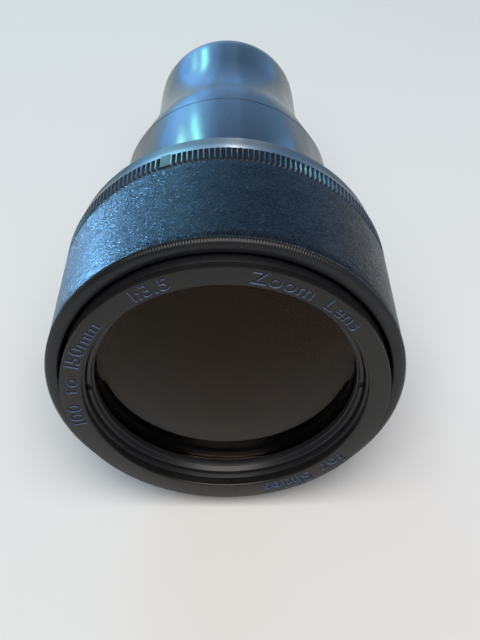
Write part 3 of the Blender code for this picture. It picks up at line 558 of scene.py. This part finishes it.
def turnedMetal(name, look):
    # fine rings left by the lathe
    material, tree, shader, coordinates = newMaterial(name, look)
    place = useGroup(tree, aroundAxis, coordinates)
    rings = tree.nodes.new("ShaderNodeCombineXYZ")
    tree.links.new(place.outputs["Along"], rings.inputs["Y"])
    tree.links.new(place.outputs["Radius"], rings.inputs["Z"])
    lines = noiseNode(tree, rings.outputs[0], look["lines"], 2)
    patches = noiseNode(tree, coordinates, 90, 3)
    tree.links.new(mixColour(tree, patches, look["colour"], look["second"]), shader.inputs["Base Color"])
    tree.links.new(rampNode(tree, lines, 0.2, 0.8, look["roughness"] - 0.05, look["roughness"] + 0.12),
                   shader.inputs["Roughness"])
    addBump(tree, shader, lines, look["bump"] * mm)
    return material


def lensGlass(name, look):
    # clear glass with a tinted coating and a few dust specks
    material, tree, shader, coordinates = newMaterial(name, look)
    shader.inputs["Transmission Weight"].default_value = 1
    shader.inputs["Specular Tint"].default_value = (*look["coating"], 1)
    specks = useGroup(tree, dust, coordinates, Scale=look["dustScale"], Size=look["dustSize"])
    dusty = mathNode(tree, "MAXIMUM", look["roughness"], mulNode(tree, specks.outputs[0], look["dustDull"]))
    tree.links.new(dusty, shader.inputs["Roughness"])
    return material


materials = {
    "housing": mouldedPlastic("housing_plastic", {
        "colour": (0.010, 0.013, 0.019), "second": (0.016, 0.020, 0.028), "roughness": 0.19, "spread": 0.06,
        "smear": 0.05, "bump": 0.012, "coat": 0.1, "coatRoughness": 0.14, "ior": 1.42,
        "edges": [("Along", along("rear_barrel")[1] - 0.3 * mm, 0.7, 0.5),
                  ("Along", along("rear_barrel")[0] + 0.2 * mm, 0.5, 0.3)],
        "wornColour": (0.12, 0.105, 0.09),
    }),
    "knurl": mouldedPlastic("knurl_plastic", {
        "colour": (0.010, 0.017, 0.030), "second": (0.016, 0.026, 0.042), "roughness": 0.22, "spread": 0.08,
        "smear": 0.06, "bump": 0.012, "coat": 0.1, "coatRoughness": 0.3, "ior": 1.55, "grooves": 0.9,
        "grooveDull": 0.3, "padAngle": -19.0, "padReach": 1.6, "padDepth": 0.15, "padDull": 0.35,
        "edges": [("Along", along("rear_rim")[0] + 0.1 * mm, 0.55, 0.4)],
        "wornColour": (0.26, 0.17, 0.1),
    }),
    "rim": mouldedPlastic("rim_plastic", {
        "colour": (0.007, 0.008, 0.010), "second": (0.012, 0.013, 0.015), "roughness": 0.3, "spread": 0.1,
        "smear": 0.05, "bump": 0.014, "dust": 0.3, "specular": 0.35,
        "edges": [("Radius", gripRadius, 0.8, 0.41)],
        "wornColour": (0.24, 0.18, 0.12),
    }),
    "nameRing": mouldedPlastic("name_ring_plastic", {
        "colour": (0.005, 0.005, 0.005), "second": (0.009, 0.0088, 0.0085), "roughness": 0.24,
        "spread": 0.08, "smear": 0.04, "bump": 0.01, "dust": 0.3, "specular": 0.4,
        # the letters' walls get a painted bluish highlight and their floors painted shade
        "paintedWallHighlight": (0.09, 0.135, 0.24), "paintedFloorShade": (0.002, 0.002, 0.003),
        "wallTop": 0.03, "wallFoot": 0.43, "edgeKept": 0.6,
    }),
    "grip": mouldedPlastic("grip_plastic", {
        "colour": (0.014, 0.014, 0.016), "second": (0.02, 0.02, 0.022), "roughness": 0.42, "spread": 0.1,
        "smear": 0.05, "bump": 0.02,
    }),
    "leather": leatherSkin("leatherette", {
        # the darker crease colour is painted shade in the creases
        "colour": (0.008, 0.012, 0.02), "paintedCreaseShade": (0.002, 0.003, 0.006),
        "rubbed": (0.014, 0.019, 0.03),
        "roughness": 0.18, "bump": 0.1, "specular": 0.1, "seamAngle": -19.0, "creaseLean": 28.0,
        "creaseScale": (0.62, 1.15, 1), "creaseDull": 0.15, "driftScale": 0.35, "drift": 2.6,
        "poreScale": 2.1, "fineScale": 4.5, "broadScale": 0.16, "pillows": 0.4, "pores": 0.45,
        "fine": 0.18, "rubbing": 0.35,
        "dustScale": 300, "dustSize": 0.1, "dust": 0.35, "dustColour": (0.35, 0.33, 0.3),
        "wearWidth": 0.5, "wear": 0.36, "wornColour": (0.3, 0.22, 0.13),
    }),
    "anodised": turnedMetal("black_anodised", {
        "colour": (0.006, 0.007, 0.009), "second": (0.012, 0.012, 0.014), "roughness": 0.33, "lines": 4.0,
        "bump": 0.02,
    }),
    "stop": turnedMetal("stop_black", {
        "colour": (0.006, 0.006, 0.006), "second": (0.01, 0.01, 0.01), "roughness": 0.7, "lines": 3.0,
        "bump": 0.01,
    }),
    "steel": turnedMetal("screw_steel", {
        "colour": (0.5, 0.5, 0.51), "second": (0.62, 0.62, 0.62), "roughness": 0.32, "lines": 9.0,
        "bump": 0.01, "metallic": 1.0,
    }),
    "brass": turnedMetal("follower_brass", {
        "colour": (0.62, 0.45, 0.18), "second": (0.74, 0.58, 0.28), "roughness": 0.3, "lines": 9.0,
        "bump": 0.01, "metallic": 1.0,
    }),
    "glass": lensGlass("coated_glass", {
        "colour": (0.26, 0.22, 0.18), "coating": (0.22, 0.17, 0.13), "roughness": 0.02,
        "ior": 1.62, "specular": 0.2, "dustScale": 170, "dustSize": 0.035, "dustDull": 0.6,
    }),
}
print("materials ready")


keyAngles = (180, 300, 60)

tube = {"steps": 160, "edge": 0.14 * mm, "wall": 2.7 * mm, "rearStep": 0.4 * mm, "web": 5.0 * mm,
        "webBore": 24.8 * mm, "keyHole": 1.6 * mm, "slotHalf": 2.1 * mm, "screwAngles": (90, 270)}


def buildHousing():
    y0, y1 = along("front_housing")
    outer = reach("front_housing")
    rear = outer - tube["rearStep"]
    bore = outer - tube["wall"]
    webBore = tube["webBore"]
    webFront = y1 - tube["web"]
    outline = [(y0, bore), (webFront, bore), (webFront, webBore), (y1, webBore), (y1, rear), (y0, outer)]
    obj = turnPiece("housing_tube", outline, tube["steps"])
    softenEdges(obj, tube["edge"], 3)
    screwY = middleOf("drive_screw_1")
    turnJoint = next(joint for joint in frame["joints"] if joint["name"] == "zoom_turn")
    lowAngle, highAngle = turnJoint["range_deg"]
    screwRoom = math.degrees(tube["slotHalf"] / bore)
    for side in tube["screwAngles"]:
        cutAway(obj, slotCutter(bore - mm, outer + mm, screwY - tube["slotHalf"], screwY + tube["slotHalf"],
                                side + lowAngle - screwRoom, side + highAngle + screwRoom))
    for angle in keyAngles:
        cutAway(obj, holeCutter(tube["keyHole"], bore - mm, outer + mm, middleOf("guide_key_1"), angle))
    return finishPiece(obj, "front_housing", "housing", materials["housing"])


barrel = {
    "steps": 192, "radius": 26.25 * mm, "endRadius": 26.0 * mm, "bore": 23.3 * mm, "foot": 14.0 * mm,
    "shoulder": 20.8 * mm, "shoulderY": (-1.0 * mm, 2.0 * mm), "coneBoreEnd": 0.9 * mm,
    "coneBoreY": -8.0 * mm,
    "leadIn": 6.0 * mm, "leadInDepth": 1.1 * mm, "leadInDrop": 0.25 * mm, "leadInRise": 0.06 * mm,
    "endRound": 0.5 * mm, "edge": 0.25 * mm, "seamEdge": 0.16 * mm, "seamReach": 0.2 * mm,
    "rackPitch": 2.0 * mm, "rackWidth": 13.0 * mm, "rackDepth": 1.1 * mm, "rackTeeth": 12,
}


def buildBarrel():
    y0, y1 = along("rear_barrel")
    seamY = y0 - barrel["seamReach"]
    seam = reach("front_housing") - tube["rearStep"]
    radius, end, bore = barrel["radius"], barrel["endRadius"], barrel["bore"]
    shoulderFront, shoulderBack = barrel["shoulderY"]
    leadIn, tipRound = barrel["leadIn"], barrel["endRound"]
    tip = end - barrel["leadInDepth"] - tipRound
    foot = barrel["foot"]  # the cone eases into the barrel over this length, both ways
    slope = (seam - radius) / -y0
    outline = [
        (seamY, tube["webBore"]), (barrel["coneBoreY"], tube["webBore"]),
        (shoulderFront, bore + barrel["coneBoreEnd"]), (shoulderFront, barrel["shoulder"]),
        (shoulderBack, barrel["shoulder"]), (shoulderBack, bore), (y1, bore), (y1, tip),
        *arcPoints((y1 - tipRound, tip), tipRound, 0, 80, 4)[1:],
        *easeCurve((y1 - 0.6 * leadIn, end - barrel["leadInDrop"]), (y1 - leadIn, end),
                   (y1 - 1.5 * leadIn, end + barrel["leadInRise"]), 5),
        *easeCurve((foot, radius), (0, radius), (-foot, radius + slope * foot), 10),
        (seamY + barrel["seamEdge"], seam), (seamY, seam - barrel["seamEdge"]),
    ]
    obj = turnPiece("barrel_moulding", outline, barrel["steps"])
    softenEdges(obj, barrel["edge"], 2, 35)
    cutterHeight = 4 * mm
    gaps = []
    for tooth in range(barrel["rackTeeth"]):
        y = y1 - leadIn - barrel["rackPitch"] * tooth
        gaps.append(boxCutter((barrel["rackWidth"], barrel["rackPitch"] / 2, cutterHeight),
                              (0, y, -(radius - barrel["rackDepth"] + cutterHeight / 2))))
    cutAway(obj, joinAll(gaps))
    return finishPiece(obj, "rear_barrel", "housing", materials["housing"])


spannerSlot = {"width": 2.4 * mm, "depth": 1.0 * mm}


def cutSpannerSlot(obj, outer, faceY):
    # one straight cut across the ring's face
    cutAway(obj, boxCutter((2.4 * outer, 2 * spannerSlot["depth"], spannerSlot["width"]), (0, faceY, 0)))


rearKeeper = {"steps": 128, "width": 2.3 * mm, "chamfer": 0.8 * mm, "edge": 0.15 * mm}


def buildRearKeeper():
    y0, y1 = along("rear_retaining_ring")
    outer = reach("rear_retaining_ring")
    inner = outer - rearKeeper["width"]
    chamfer = rearKeeper["chamfer"]
    outline = [(y0, inner), (y1 - chamfer, inner), (y1, inner + chamfer), (y1, outer), (y0, outer)]
    obj = turnPiece("rear_keeper_ring", outline, rearKeeper["steps"])
    softenEdges(obj, rearKeeper["edge"])
    cutSpannerSlot(obj, outer, y1)
    return finishPiece(obj, "rear_retaining_ring", "housing", materials["anodised"])


def bulgeAt(height, clear, at):
    # how far a spherical face stands out at one radius, if it stands out by the height at its middle
    sphere = (clear ** 2 + height ** 2) / (2 * abs(height))
    return math.copysign(math.sqrt(sphere ** 2 - at ** 2) - math.sqrt(sphere ** 2 - clear ** 2), height)


# node, body, radius of the curved part, front bulge, back bulge, steps round
lenses = {
    "rear_glass": ("rear_outer_element", "housing", 20.3 * mm, 1.5 * mm, 1.8 * mm, 144),
    "front_glass": ("front_element", "front_group", 35.6 * mm, 3.2 * mm, -2.2 * mm, 192),
    "second_glass": ("second_element", "front_group", 33.2 * mm, 0, 3.0 * mm, 144),
}
lensChamfer = 0.3 * mm
lensRings = 18


def buildLens(name, node, body, clear, frontBulge, backBulge, steps):
    # a convex front reaches past the edge's front, so the edge is found from the bulges
    low, high = along(node)
    radius = reach(node)
    front = low + max(frontBulge, 0)
    back = high - max(backBulge, 0)
    radii = [clear * ring / lensRings for ring in range(1, lensRings + 1)]
    outline = [(front - frontBulge, 0)]
    outline += [(front - (bulgeAt(frontBulge, clear, at) if frontBulge else 0), at) for at in radii]
    outline += [(front, radius - lensChamfer), (front + lensChamfer, radius), (back - lensChamfer, radius),
                (back, radius - lensChamfer)]
    outline += [(back + (bulgeAt(backBulge, clear, at) if backBulge else 0), at) for at in reversed(radii)]
    outline.append((back + backBulge, 0))
    obj = turnPiece(name, outline, steps, onAxis=True)
    return finishPiece(obj, node, body, materials["glass"], 20)


frontKeeper = {"steps": 192, "clear": 36.4 * mm, "ledge": 1.6 * mm, "flare": 0.8 * mm, "fall": 0.45 * mm,
               "land": 0.1 * mm, "edge": 0.12 * mm}


def buildFrontKeeper():
    y0, y1 = along("front_retaining_ring")
    outer = reach("front_retaining_ring")
    clear = frontKeeper["clear"]
    ledgeY = y0 + frontKeeper["ledge"]
    outline = [(y0, clear + frontKeeper["flare"]), (ledgeY, clear + frontKeeper["fall"]),
               (ledgeY, clear + frontKeeper["land"]), (y1, clear), (y1, outer), (y0, outer)]
    obj = turnPiece("front_keeper_ring", outline, frontKeeper["steps"])
    softenEdges(obj, frontKeeper["edge"])
    cutSpannerSlot(obj, outer, y0)
    return finishPiece(obj, "front_retaining_ring", "front_group", materials["anodised"])


cell = {
    "steps": 176, "edge": 0.2 * mm, "keeperGap": 0.3 * mm, "wall": 2.0 * mm, "glassBack": 3.0 * mm,
    "seatGap": 0.3 * mm, "seat": 2.5 * mm, "seatStep": 2.4 * mm, "housingGap": 0.5 * mm, "sleeve": 1.8 * mm,
    "flange": 4.2 * mm, "keySlot": (5.0 * mm, 15.4 * mm, 6 * mm), "keyShift": 1.0 * mm, "pinHole": 2.7 * mm,
    "pinAngles": (0, 120, 240),
}


def buildFrontCell():
    y0, y1 = along("front_cell")
    flange = reach("front_cell")
    bore = reach("front_retaining_ring") + cell["keeperGap"]
    outer = bore + cell["wall"]
    glassBack = along("second_element")[1] - cell["glassBack"]
    seatFront = glassBack + cell["seatGap"]
    seatBack = seatFront + cell["seat"]
    sleeveBore = reach("front_housing") + cell["housingGap"]
    sleeve = sleeveBore + cell["sleeve"]
    seat = sleeveBore - cell["seatStep"]
    flangeBack = y0 + cell["flange"]
    outline = [(y0, bore), (seatFront, bore), (seatFront, seat), (seatBack, seat), (seatBack, sleeveBore),
               (y1, sleeveBore), (y1, sleeve), (seatBack, sleeve), (seatBack, outer), (flangeBack, outer),
               (flangeBack, flange), (y0, flange)]
    obj = turnPiece("front_cell_tube", outline, cell["steps"])
    softenEdges(obj, cell["edge"])
    keyY = middleOf("guide_key_1") + cell["keyShift"]
    for angle in keyAngles:
        cutAway(obj, boxCutter(cell["keySlot"], (0, keyY, sleeve), angle))
    pinY = middleOf("front_follower_1")
    for angle in cell["pinAngles"]:
        cutAway(obj, holeCutter(cell["pinHole"], sleeveBore - mm, sleeve + mm, pinY, angle))
    return finishPiece(obj, "front_cell", "front_group", materials["anodised"])


engraving = {
    "lines": [("100 to 150mm", -78.0), ("1:3.5", -25.5), ("Zoom Lens", 32.0), ("for Slides", 146.0)],
    "size": 5.6 * mm, "depth": 0.45 * mm, "slant": 0.12 * mm, "weight": 0.05 * mm, "widen": 1.12,
    "tracking": 0.85 * mm, "space": 2.6 * mm, "baseline": 1.25 * mm, "spacingHeight": 1.5 * mm,
    "ringSteps": 256, "ringEdge": 0.35 * mm,
}


def letterAt(letter, degrees, baseline):
    # one character that stands on the baseline circle with its top outward, as a closed solid
    startFresh()
    bpy.ops.object.text_add(location=(0, 0, 0))
    text = bpy.context.active_object
    text.data.body = letter
    text.data.align_x = "CENTER"
    text.data.size = engraving["size"]
    text.data.extrude = engraving["depth"] - engraving["slant"]
    text.data.bevel_depth = engraving["slant"]
    text.data.bevel_resolution = 0
    text.data.offset = engraving["weight"]
    text.data.resolution_u = 6
    bpy.ops.object.convert(target="MESH")
    text = bpy.context.active_object
    bpy.ops.object.mode_set(mode="EDIT")
    bpy.ops.mesh.select_all(action="SELECT")
    bpy.ops.mesh.remove_doubles(threshold=0.004 * mm)
    bpy.ops.object.mode_set(mode="OBJECT")
    text.location = (0, nameFaceY, baseline)
    text.scale = (engraving["widen"], 1, 1)
    text.rotation_euler = (math.radians(90), 0, 0)
    bpy.ops.object.transform_apply(location=True, rotation=True, scale=True)
    turnAbout(text, degrees)
    return text


def letterWidth(letter):
    startFresh()
    bpy.ops.object.text_add(location=(0, 0, 0))
    text = bpy.context.active_object
    text.data.body = letter
    text.data.size = engraving["size"]
    bpy.context.view_layer.update()
    width = text.dimensions.x * engraving["widen"]
    bpy.data.objects.remove(text, do_unlink=True)
    return width


def buildNameRing():
    outer = reach("name_ring")
    inner = outer - nameRingWidth
    baseline = inner + engraving["baseline"]
    edge = engraving["ringEdge"]
    outline = [(nameFaceY, inner + edge), (nameFaceY + 0.4 * edge, inner + 0.4 * edge),
               (nameFaceY + edge, inner), (nameBackY, inner), (nameBackY, outer), (nameFaceY + edge, outer),
               (nameFaceY + 0.3 * edge, outer - 0.3 * edge), (nameFaceY, outer - edge)]
    obj = turnPiece("engraved_ring", outline, engraving["ringSteps"])
    letters = []
    perDegree = math.radians(1) * (baseline + engraving["spacingHeight"])
    for words, centre in engraving["lines"]:
        widths = [engraving["space"] if letter == " " else letterWidth(letter) for letter in words]
        total = sum(widths) + engraving["tracking"] * (len(words) - 1)
        travel = -total / 2
        for letter, width in zip(words, widths):
            if letter != " ":
                letters.append(letterAt(letter, centre + (travel + width / 2) / perDegree, baseline))
            travel += width + engraving["tracking"]
    cutAway(obj, joinAll(letters), "MANIFOLD")
    return finishPiece(obj, "name_ring", "front_group", materials["nameRing"], 25)


# where a tooth's sector is divided, and between which shares of it the crest is lifted
tooth = {"divided": (0.0, 0.41, 0.59, 1.0), "lifted": (0.37, 0.63), "merge": 0.02 * mm}


def toothedRing(name, outline, teeth, lift, toothed):
    # one tooth's sector is spun from the outline, its crest lifted, and the sector copied round the axis
    pitch = 360 / teeth
    obj = drawOutline(name, outline, "wire")
    bpy.ops.mesh.select_all(action="SELECT")
    for before, after in zip(tooth["divided"], tooth["divided"][1:]):
        bpy.ops.mesh.spin(steps=1, angle=math.radians(pitch * (after - before)), center=(0, 0, 0),
                          axis=(0, 1, 0))
    bpy.ops.object.mode_set(mode="OBJECT")
    angles = sorted({round(angleOf(vertex.co), 3) for vertex in obj.data.vertices})
    lowest, width = angles[0], angles[-1] - angles[0]
    first, last = (lowest + share * width for share in tooth["lifted"])
    editOf(obj)
    pickVertices(obj, lambda co: toothed(co) and first < angleOf(co) < last)
    bpy.ops.transform.resize(value=(lift, 1, lift), center_override=(0, 0, 0))
    bpy.ops.object.mode_set(mode="OBJECT")
    guide = bpy.data.objects.new("turn guide", None)
    bpy.context.collection.objects.link(guide)
    guide.rotation_euler = (0, math.radians(pitch), 0)
    activate(obj)
    ring = obj.modifiers.new("round", "ARRAY")
    ring.count = teeth
    ring.use_relative_offset = False
    ring.use_object_offset = True
    ring.offset_object = guide
    ring.use_merge_vertices = True
    ring.merge_threshold = tooth["merge"]
    bpy.context.view_layer.update()
    bpy.ops.object.modifier_apply(modifier=ring.name)
    bpy.data.objects.remove(guide, do_unlink=True)
    closeUp(obj, tooth["merge"])
    return obj


knurl = {
    "teeth": 200, "height": 0.9 * mm, "length": 5.3 * mm, "padAngle": -19.0, "padHalf": 1.75,
    "bore": 46.9 * mm, "housingGap": 0.6 * mm, "plate": 2.7 * mm, "plateEdge": 0.3 * mm, "round": 1.0 * mm,
    "chamfer": 7.0 * mm, "chamferDepth": 1.5 * mm,
}


def buildKnurledRim():
    y0, y1 = along("rear_rim")
    crest = reach("rear_rim")
    valley = crest - knurl["height"]
    bore = knurl["bore"]
    innerBore = reach("front_housing") + knurl["housingGap"]
    plate = y1 - knurl["plate"]
    plateEdge = knurl["plateEdge"]
    knurlEnd = y0 + knurl["length"]
    edge = crest - knurl["chamferDepth"]
    backRound = knurl["round"]
    chamferEnd = min(knurlEnd + knurl["chamfer"], y1 - backRound)
    outline = [
        (y0, bore), (plate, bore), (plate, innerBore), (y1 - plateEdge, innerBore),
        (y1, innerBore + plateEdge),
        *arcPoints((y1 - backRound, edge - backRound), backRound, 0, 84, 5),
        (chamferEnd - 0.6 * mm, edge + 0.2 * mm),
        (knurlEnd + 0.45 * mm, crest - 0.06 * mm), (knurlEnd + 0.1 * mm, crest - 0.02 * mm),
        (knurlEnd, valley), (y0 + 0.55 * mm, valley), (y0 + 0.1 * mm, valley - 0.25 * mm),
        (y0, valley - 0.4 * mm),
    ]
    lift = crest / valley

    def inKnurl(co):
        return y0 + 0.3 * mm < co.y < knurlEnd + 0.02 * mm and radiusOf(co) > valley - 0.1 * mm

    def inPad(co):
        low = radiusOf(co) < valley + 0.5 * knurl["height"]
        return inKnurl(co) and low and abs(angleOf(co) - knurl["padAngle"]) < knurl["padHalf"]

    obj = toothedRing("knurled_rim", outline, knurl["teeth"], lift, inKnurl)
    editOf(obj)
    pickVertices(obj, inPad)
    bpy.ops.transform.resize(value=(lift, 1, lift), center_override=(0, 0, 0))
    return finishPiece(obj, "rear_rim", "zoom_ring", materials["knurl"], 24)


lip = {"teeth": 400, "height": 0.13 * mm, "opening": 46.0 * mm, "round": 0.6 * mm, "spigotWall": 0.6 * mm,
       "length": 2.0 * mm}


def buildLipRing():
    opening = lip["opening"]
    spigot = opening + lip["spigotWall"]
    valley = gripRadius - lip["height"]
    lipBackY = lipY + lip["length"]
    outline = [
        *arcPoints((lipY + lip["round"], opening + lip["round"]), lip["round"], 270, 180, 4),
        (lipY, opening + 1.5 * mm),
        (lipY + 0.05 * mm, valley - 1.9 * mm), (lipY + 0.22 * mm, valley - 1.15 * mm),
        (lipY + 0.5 * mm, valley - 0.6 * mm), (lipY + 0.95 * mm, valley - 0.2 * mm),
        (lipY + 1.45 * mm, valley), (lipBackY, valley), (lipBackY, spigot), (rimBackY, spigot),
        (rimBackY, opening),
    ]

    def inFineKnurl(co):
        return co.y < lipBackY + 0.01 * mm and radiusOf(co) > valley - 1.3 * mm

    obj = toothedRing("lip_ring", outline, lip["teeth"], gripRadius / valley, inFineKnurl)
    return finishPiece(obj, "front_rim", "zoom_ring", materials["rim"], 24)


band = {
    "steps": 420, "rows": 46, "sink": 0.05 * mm, "rearSink": 0.6 * mm, "thickness": 1.1 * mm,
    "tuck": 0.35 * mm, "tuckShare": 14, "grain": 1.6 * mm, "creases": 7 * mm, "relief": 0.09 * mm,
    "creaseRelief": 0.6,
}


def leatherRelief(name, kind, scale):
    texture = bpy.data.textures.new(name, kind)
    texture.noise_scale = scale
    return texture


def buildBand():
    y0, y1 = along("leatherette_band")
    outer = gripRadius - band["sink"]
    rear = gripRadius - band["rearSink"]
    bore = outer - band["thickness"]
    skin = []
    for row in range(band["rows"] + 1):
        share = row / band["rows"]
        nearBack = max(0, 1 - share * band["tuckShare"])
        nearFront = max(0, 1 - (1 - share) * band["tuckShare"])
        tuck = band["tuck"] * (nearBack ** 2 + nearFront ** 2)
        skin.append((y1 + (y0 - y1) * share, rear + (outer - rear) * share - tuck))
    outline = [(y0, bore), (y1, bore), *skin]
    obj = turnPiece("grained_band", outline, band["steps"])
    grain = leatherRelief("leather relief", "CLOUDS", band["grain"])
    grain.noise_depth = 2
    creases = leatherRelief("leather creases", "STUCCI", band["creases"])
    editOf(obj)
    pickVertices(obj, lambda co: radiusOf(co) > bore + 0.4 * mm)
    shown = obj.vertex_groups.new(name="shown side")
    bpy.ops.object.mode_set(mode="OBJECT")
    shown.add([vertex.index for vertex in obj.data.vertices if vertex.select], 1.0, "REPLACE")
    for texture, strength in ((grain, band["relief"]), (creases, band["creaseRelief"] * band["relief"])):
        activate(obj)
        relief = obj.modifiers.new("relief", "DISPLACE")
        relief.texture = texture
        relief.texture_coords = "LOCAL"
        relief.mid_level = 0.95
        relief.strength = strength
        relief.vertex_group = shown.name
        bpy.ops.object.modifier_apply(modifier=relief.name)
    return finishPiece(obj, "leatherette_band", "zoom_ring", materials["leather"], 45)


buildHousing()
buildBarrel()
buildRearKeeper()
print("fixed pieces built")
for lensName, values in lenses.items():
    buildLens(lensName, *values)
print("lenses built")
buildFrontKeeper()
buildFrontCell()
buildNameRing()
print("front group built")
knurledRim = buildKnurledRim()
buildLipRing()
grainedBand = buildBand()
print("zoom ring built")

# finishes of the pieces that keep their built shape; screws are steel, followers and keys brass
nodeSkins = {
    "grip_ring": "grip", "cam_sleeve": "anodised", "rear_spacer": "anodised", "front_spacer": "anodised",
    "variator_cell": "anodised", "variator_retaining_ring": "anodised", "aperture_stop": "stop",
    "variator_element": "glass", "rear_inner_element": "glass", "cam_snap_ring": "steel",
    "cam_wave_washer": "steel",
}
for nodeName, node in frame["nodes"].items():
    skin = nodeSkins.get(nodeName)
    if skin is None and "screw" in nodeName:
        skin = "steel"
    if skin is None and ("follower" in nodeName or "key" in nodeName):
        skin = "brass"
    if skin:
        node.data.materials.clear()
        node.data.materials.append(materials[skin])
print("inner pieces skinned")


shot = {"lookDown": 42.03, "focal": 52.875, "sensor": 36.0, "distance": 260.5 * mm, "lower": 17.75 * mm,
        "left": 4.16 * mm, "roll": 0.55}


def buildCamera():
    tilt = math.radians(shot["lookDown"])
    forward = Vector((0, math.cos(tilt), -math.sin(tilt)))
    down = Vector((0, -math.sin(tilt), -math.cos(tilt)))
    lipMiddle = Vector((0, lipY, 0))
    aside = Vector((shot["left"], 0, 0))
    place = lipMiddle + aside - down * shot["lower"] - forward * shot["distance"]
    bpy.ops.object.camera_add(location=place)
    camera = bpy.context.active_object
    camera.rotation_euler = (math.radians(90) - tilt, 0, 0)
    camera.rotation_euler.rotate_axis("Z", math.radians(-shot["roll"]))
    camera.data.lens = shot["focal"]
    camera.data.sensor_width = shot["sensor"]
    camera.data.sensor_fit = "AUTO"
    camera.data.dof.use_dof = False
    camera.data.clip_start = 0.01
    bpy.context.scene.camera = camera


stand = {"size": 2.6, "gap": 0.2 * mm, "colour": (0.74, 0.735, 0.73), "roughness": 0.9}


def buildFloor():
    startFresh()
    bpy.ops.mesh.primitive_plane_add(size=stand["size"], location=(0, 0, -gripRadius - stand["gap"]))
    floor = bpy.context.active_object
    floor.name = "floor"
    material = bpy.data.materials.new("pale_floor")
    material.use_nodes = True
    shader = material.node_tree.nodes["Principled BSDF"]
    shader.inputs["Base Color"].default_value = (*stand["colour"], 1)
    shader.inputs["Roughness"].default_value = stand["roughness"]
    floor.data.materials.append(material)


def addPanel(name, azimuth, elevation, distance, width, height, glow, colour):
    # a soft light that looks at the object; azimuth 0 is behind the object (+Y), positive towards +X,
    # and glow is how bright its face looks, so its power follows from its size
    turn, rise = math.radians(azimuth), math.radians(elevation)
    away = Vector((math.sin(turn) * math.cos(rise), math.cos(turn) * math.cos(rise), math.sin(rise)))
    bpy.ops.object.light_add(type="AREA", location=lightTarget + away * distance)
    light = bpy.context.active_object
    light.name = name
    light.rotation_euler = away.to_track_quat("Z", "Y").to_euler()
    light.data.shape = "RECTANGLE"
    light.data.size = width
    light.data.size_y = height
    light.data.energy = glow * math.pi * width * height
    light.data.color = colour
    return light


lightTarget = Vector((0, -40 * mm, 0))
room = {"colour": (0.85, 0.88, 1.0), "strength": 0.12}

# azimuth, elevation, distance, width, height, glow, colour
panels = {
    "key softbox": (180, 62, 1.9, 1.7, 1.7, 5.0, (1.0, 0.965, 0.92)),
    "sky": (4, 14, 2.4, 3.4, 1.38, 0.95, (0.22, 0.54, 1.0)),
    "sky left": (-23, 14, 2.3, 0.8, 1.3, 1.5, (0.14, 0.44, 1.0)),
    "wide sky left": (-22, 14, 2.3, 1.25, 1.45, 1.2, (0.14, 0.44, 1.0)),
    "sky middle": (-9, 16, 2.3, 1.3, 1.2, 0.6, (0.25, 0.5, 1.0)),
    "sky right": (34, 9, 2.3, 0.7, 0.9, 1.0, (0.25, 0.52, 1.0)),
    "left strip": (-16.7, 22.5, 1.2, 0.055, 0.34, 14, (0.3, 1.0, 0.8)),
    "far left strip": (-24.4, 20, 1.2, 0.05, 0.28, 24, (0.4, 1.0, 0.7)),
    "low left window": (-51, 4, 1.2, 0.11, 0.22, 560, (0.2, 0.55, 1.0)),
    "horizon": (-6, 7, 2.3, 1.5, 0.42, 1.2, (0.6, 0.85, 1.0)),
    "back window": (2.6, 8.6, 1.2, 0.06, 0.06, 105, (0.95, 0.97, 1.0)),
}
# lights that reach one piece only
onlyOn = {"horizon": "rim", "back window": "rim", "low left window": "band"}


def buildLight(pieces):
    lit = {}
    for name, piece in pieces.items():
        lit[name] = bpy.data.collections.new(name + " light")
        lit[name].objects.link(piece)
    for name, values in panels.items():
        light = addPanel(name, *values)
        if name in onlyOn:
            light.light_linking.receiver_collection = lit[onlyOn[name]]
    world = bpy.data.worlds.new("room")
    bpy.context.scene.world = world
    world.use_nodes = True
    sky = world.node_tree.nodes["Background"]
    sky.inputs["Color"].default_value = (*room["colour"], 1)
    sky.inputs["Strength"].default_value = room["strength"]
    bpy.context.scene.view_settings.view_transform = "Standard"


buildCamera()
buildFloor()
buildLight({"rim": knurledRim, "band": grainedBand})
print("stage set")
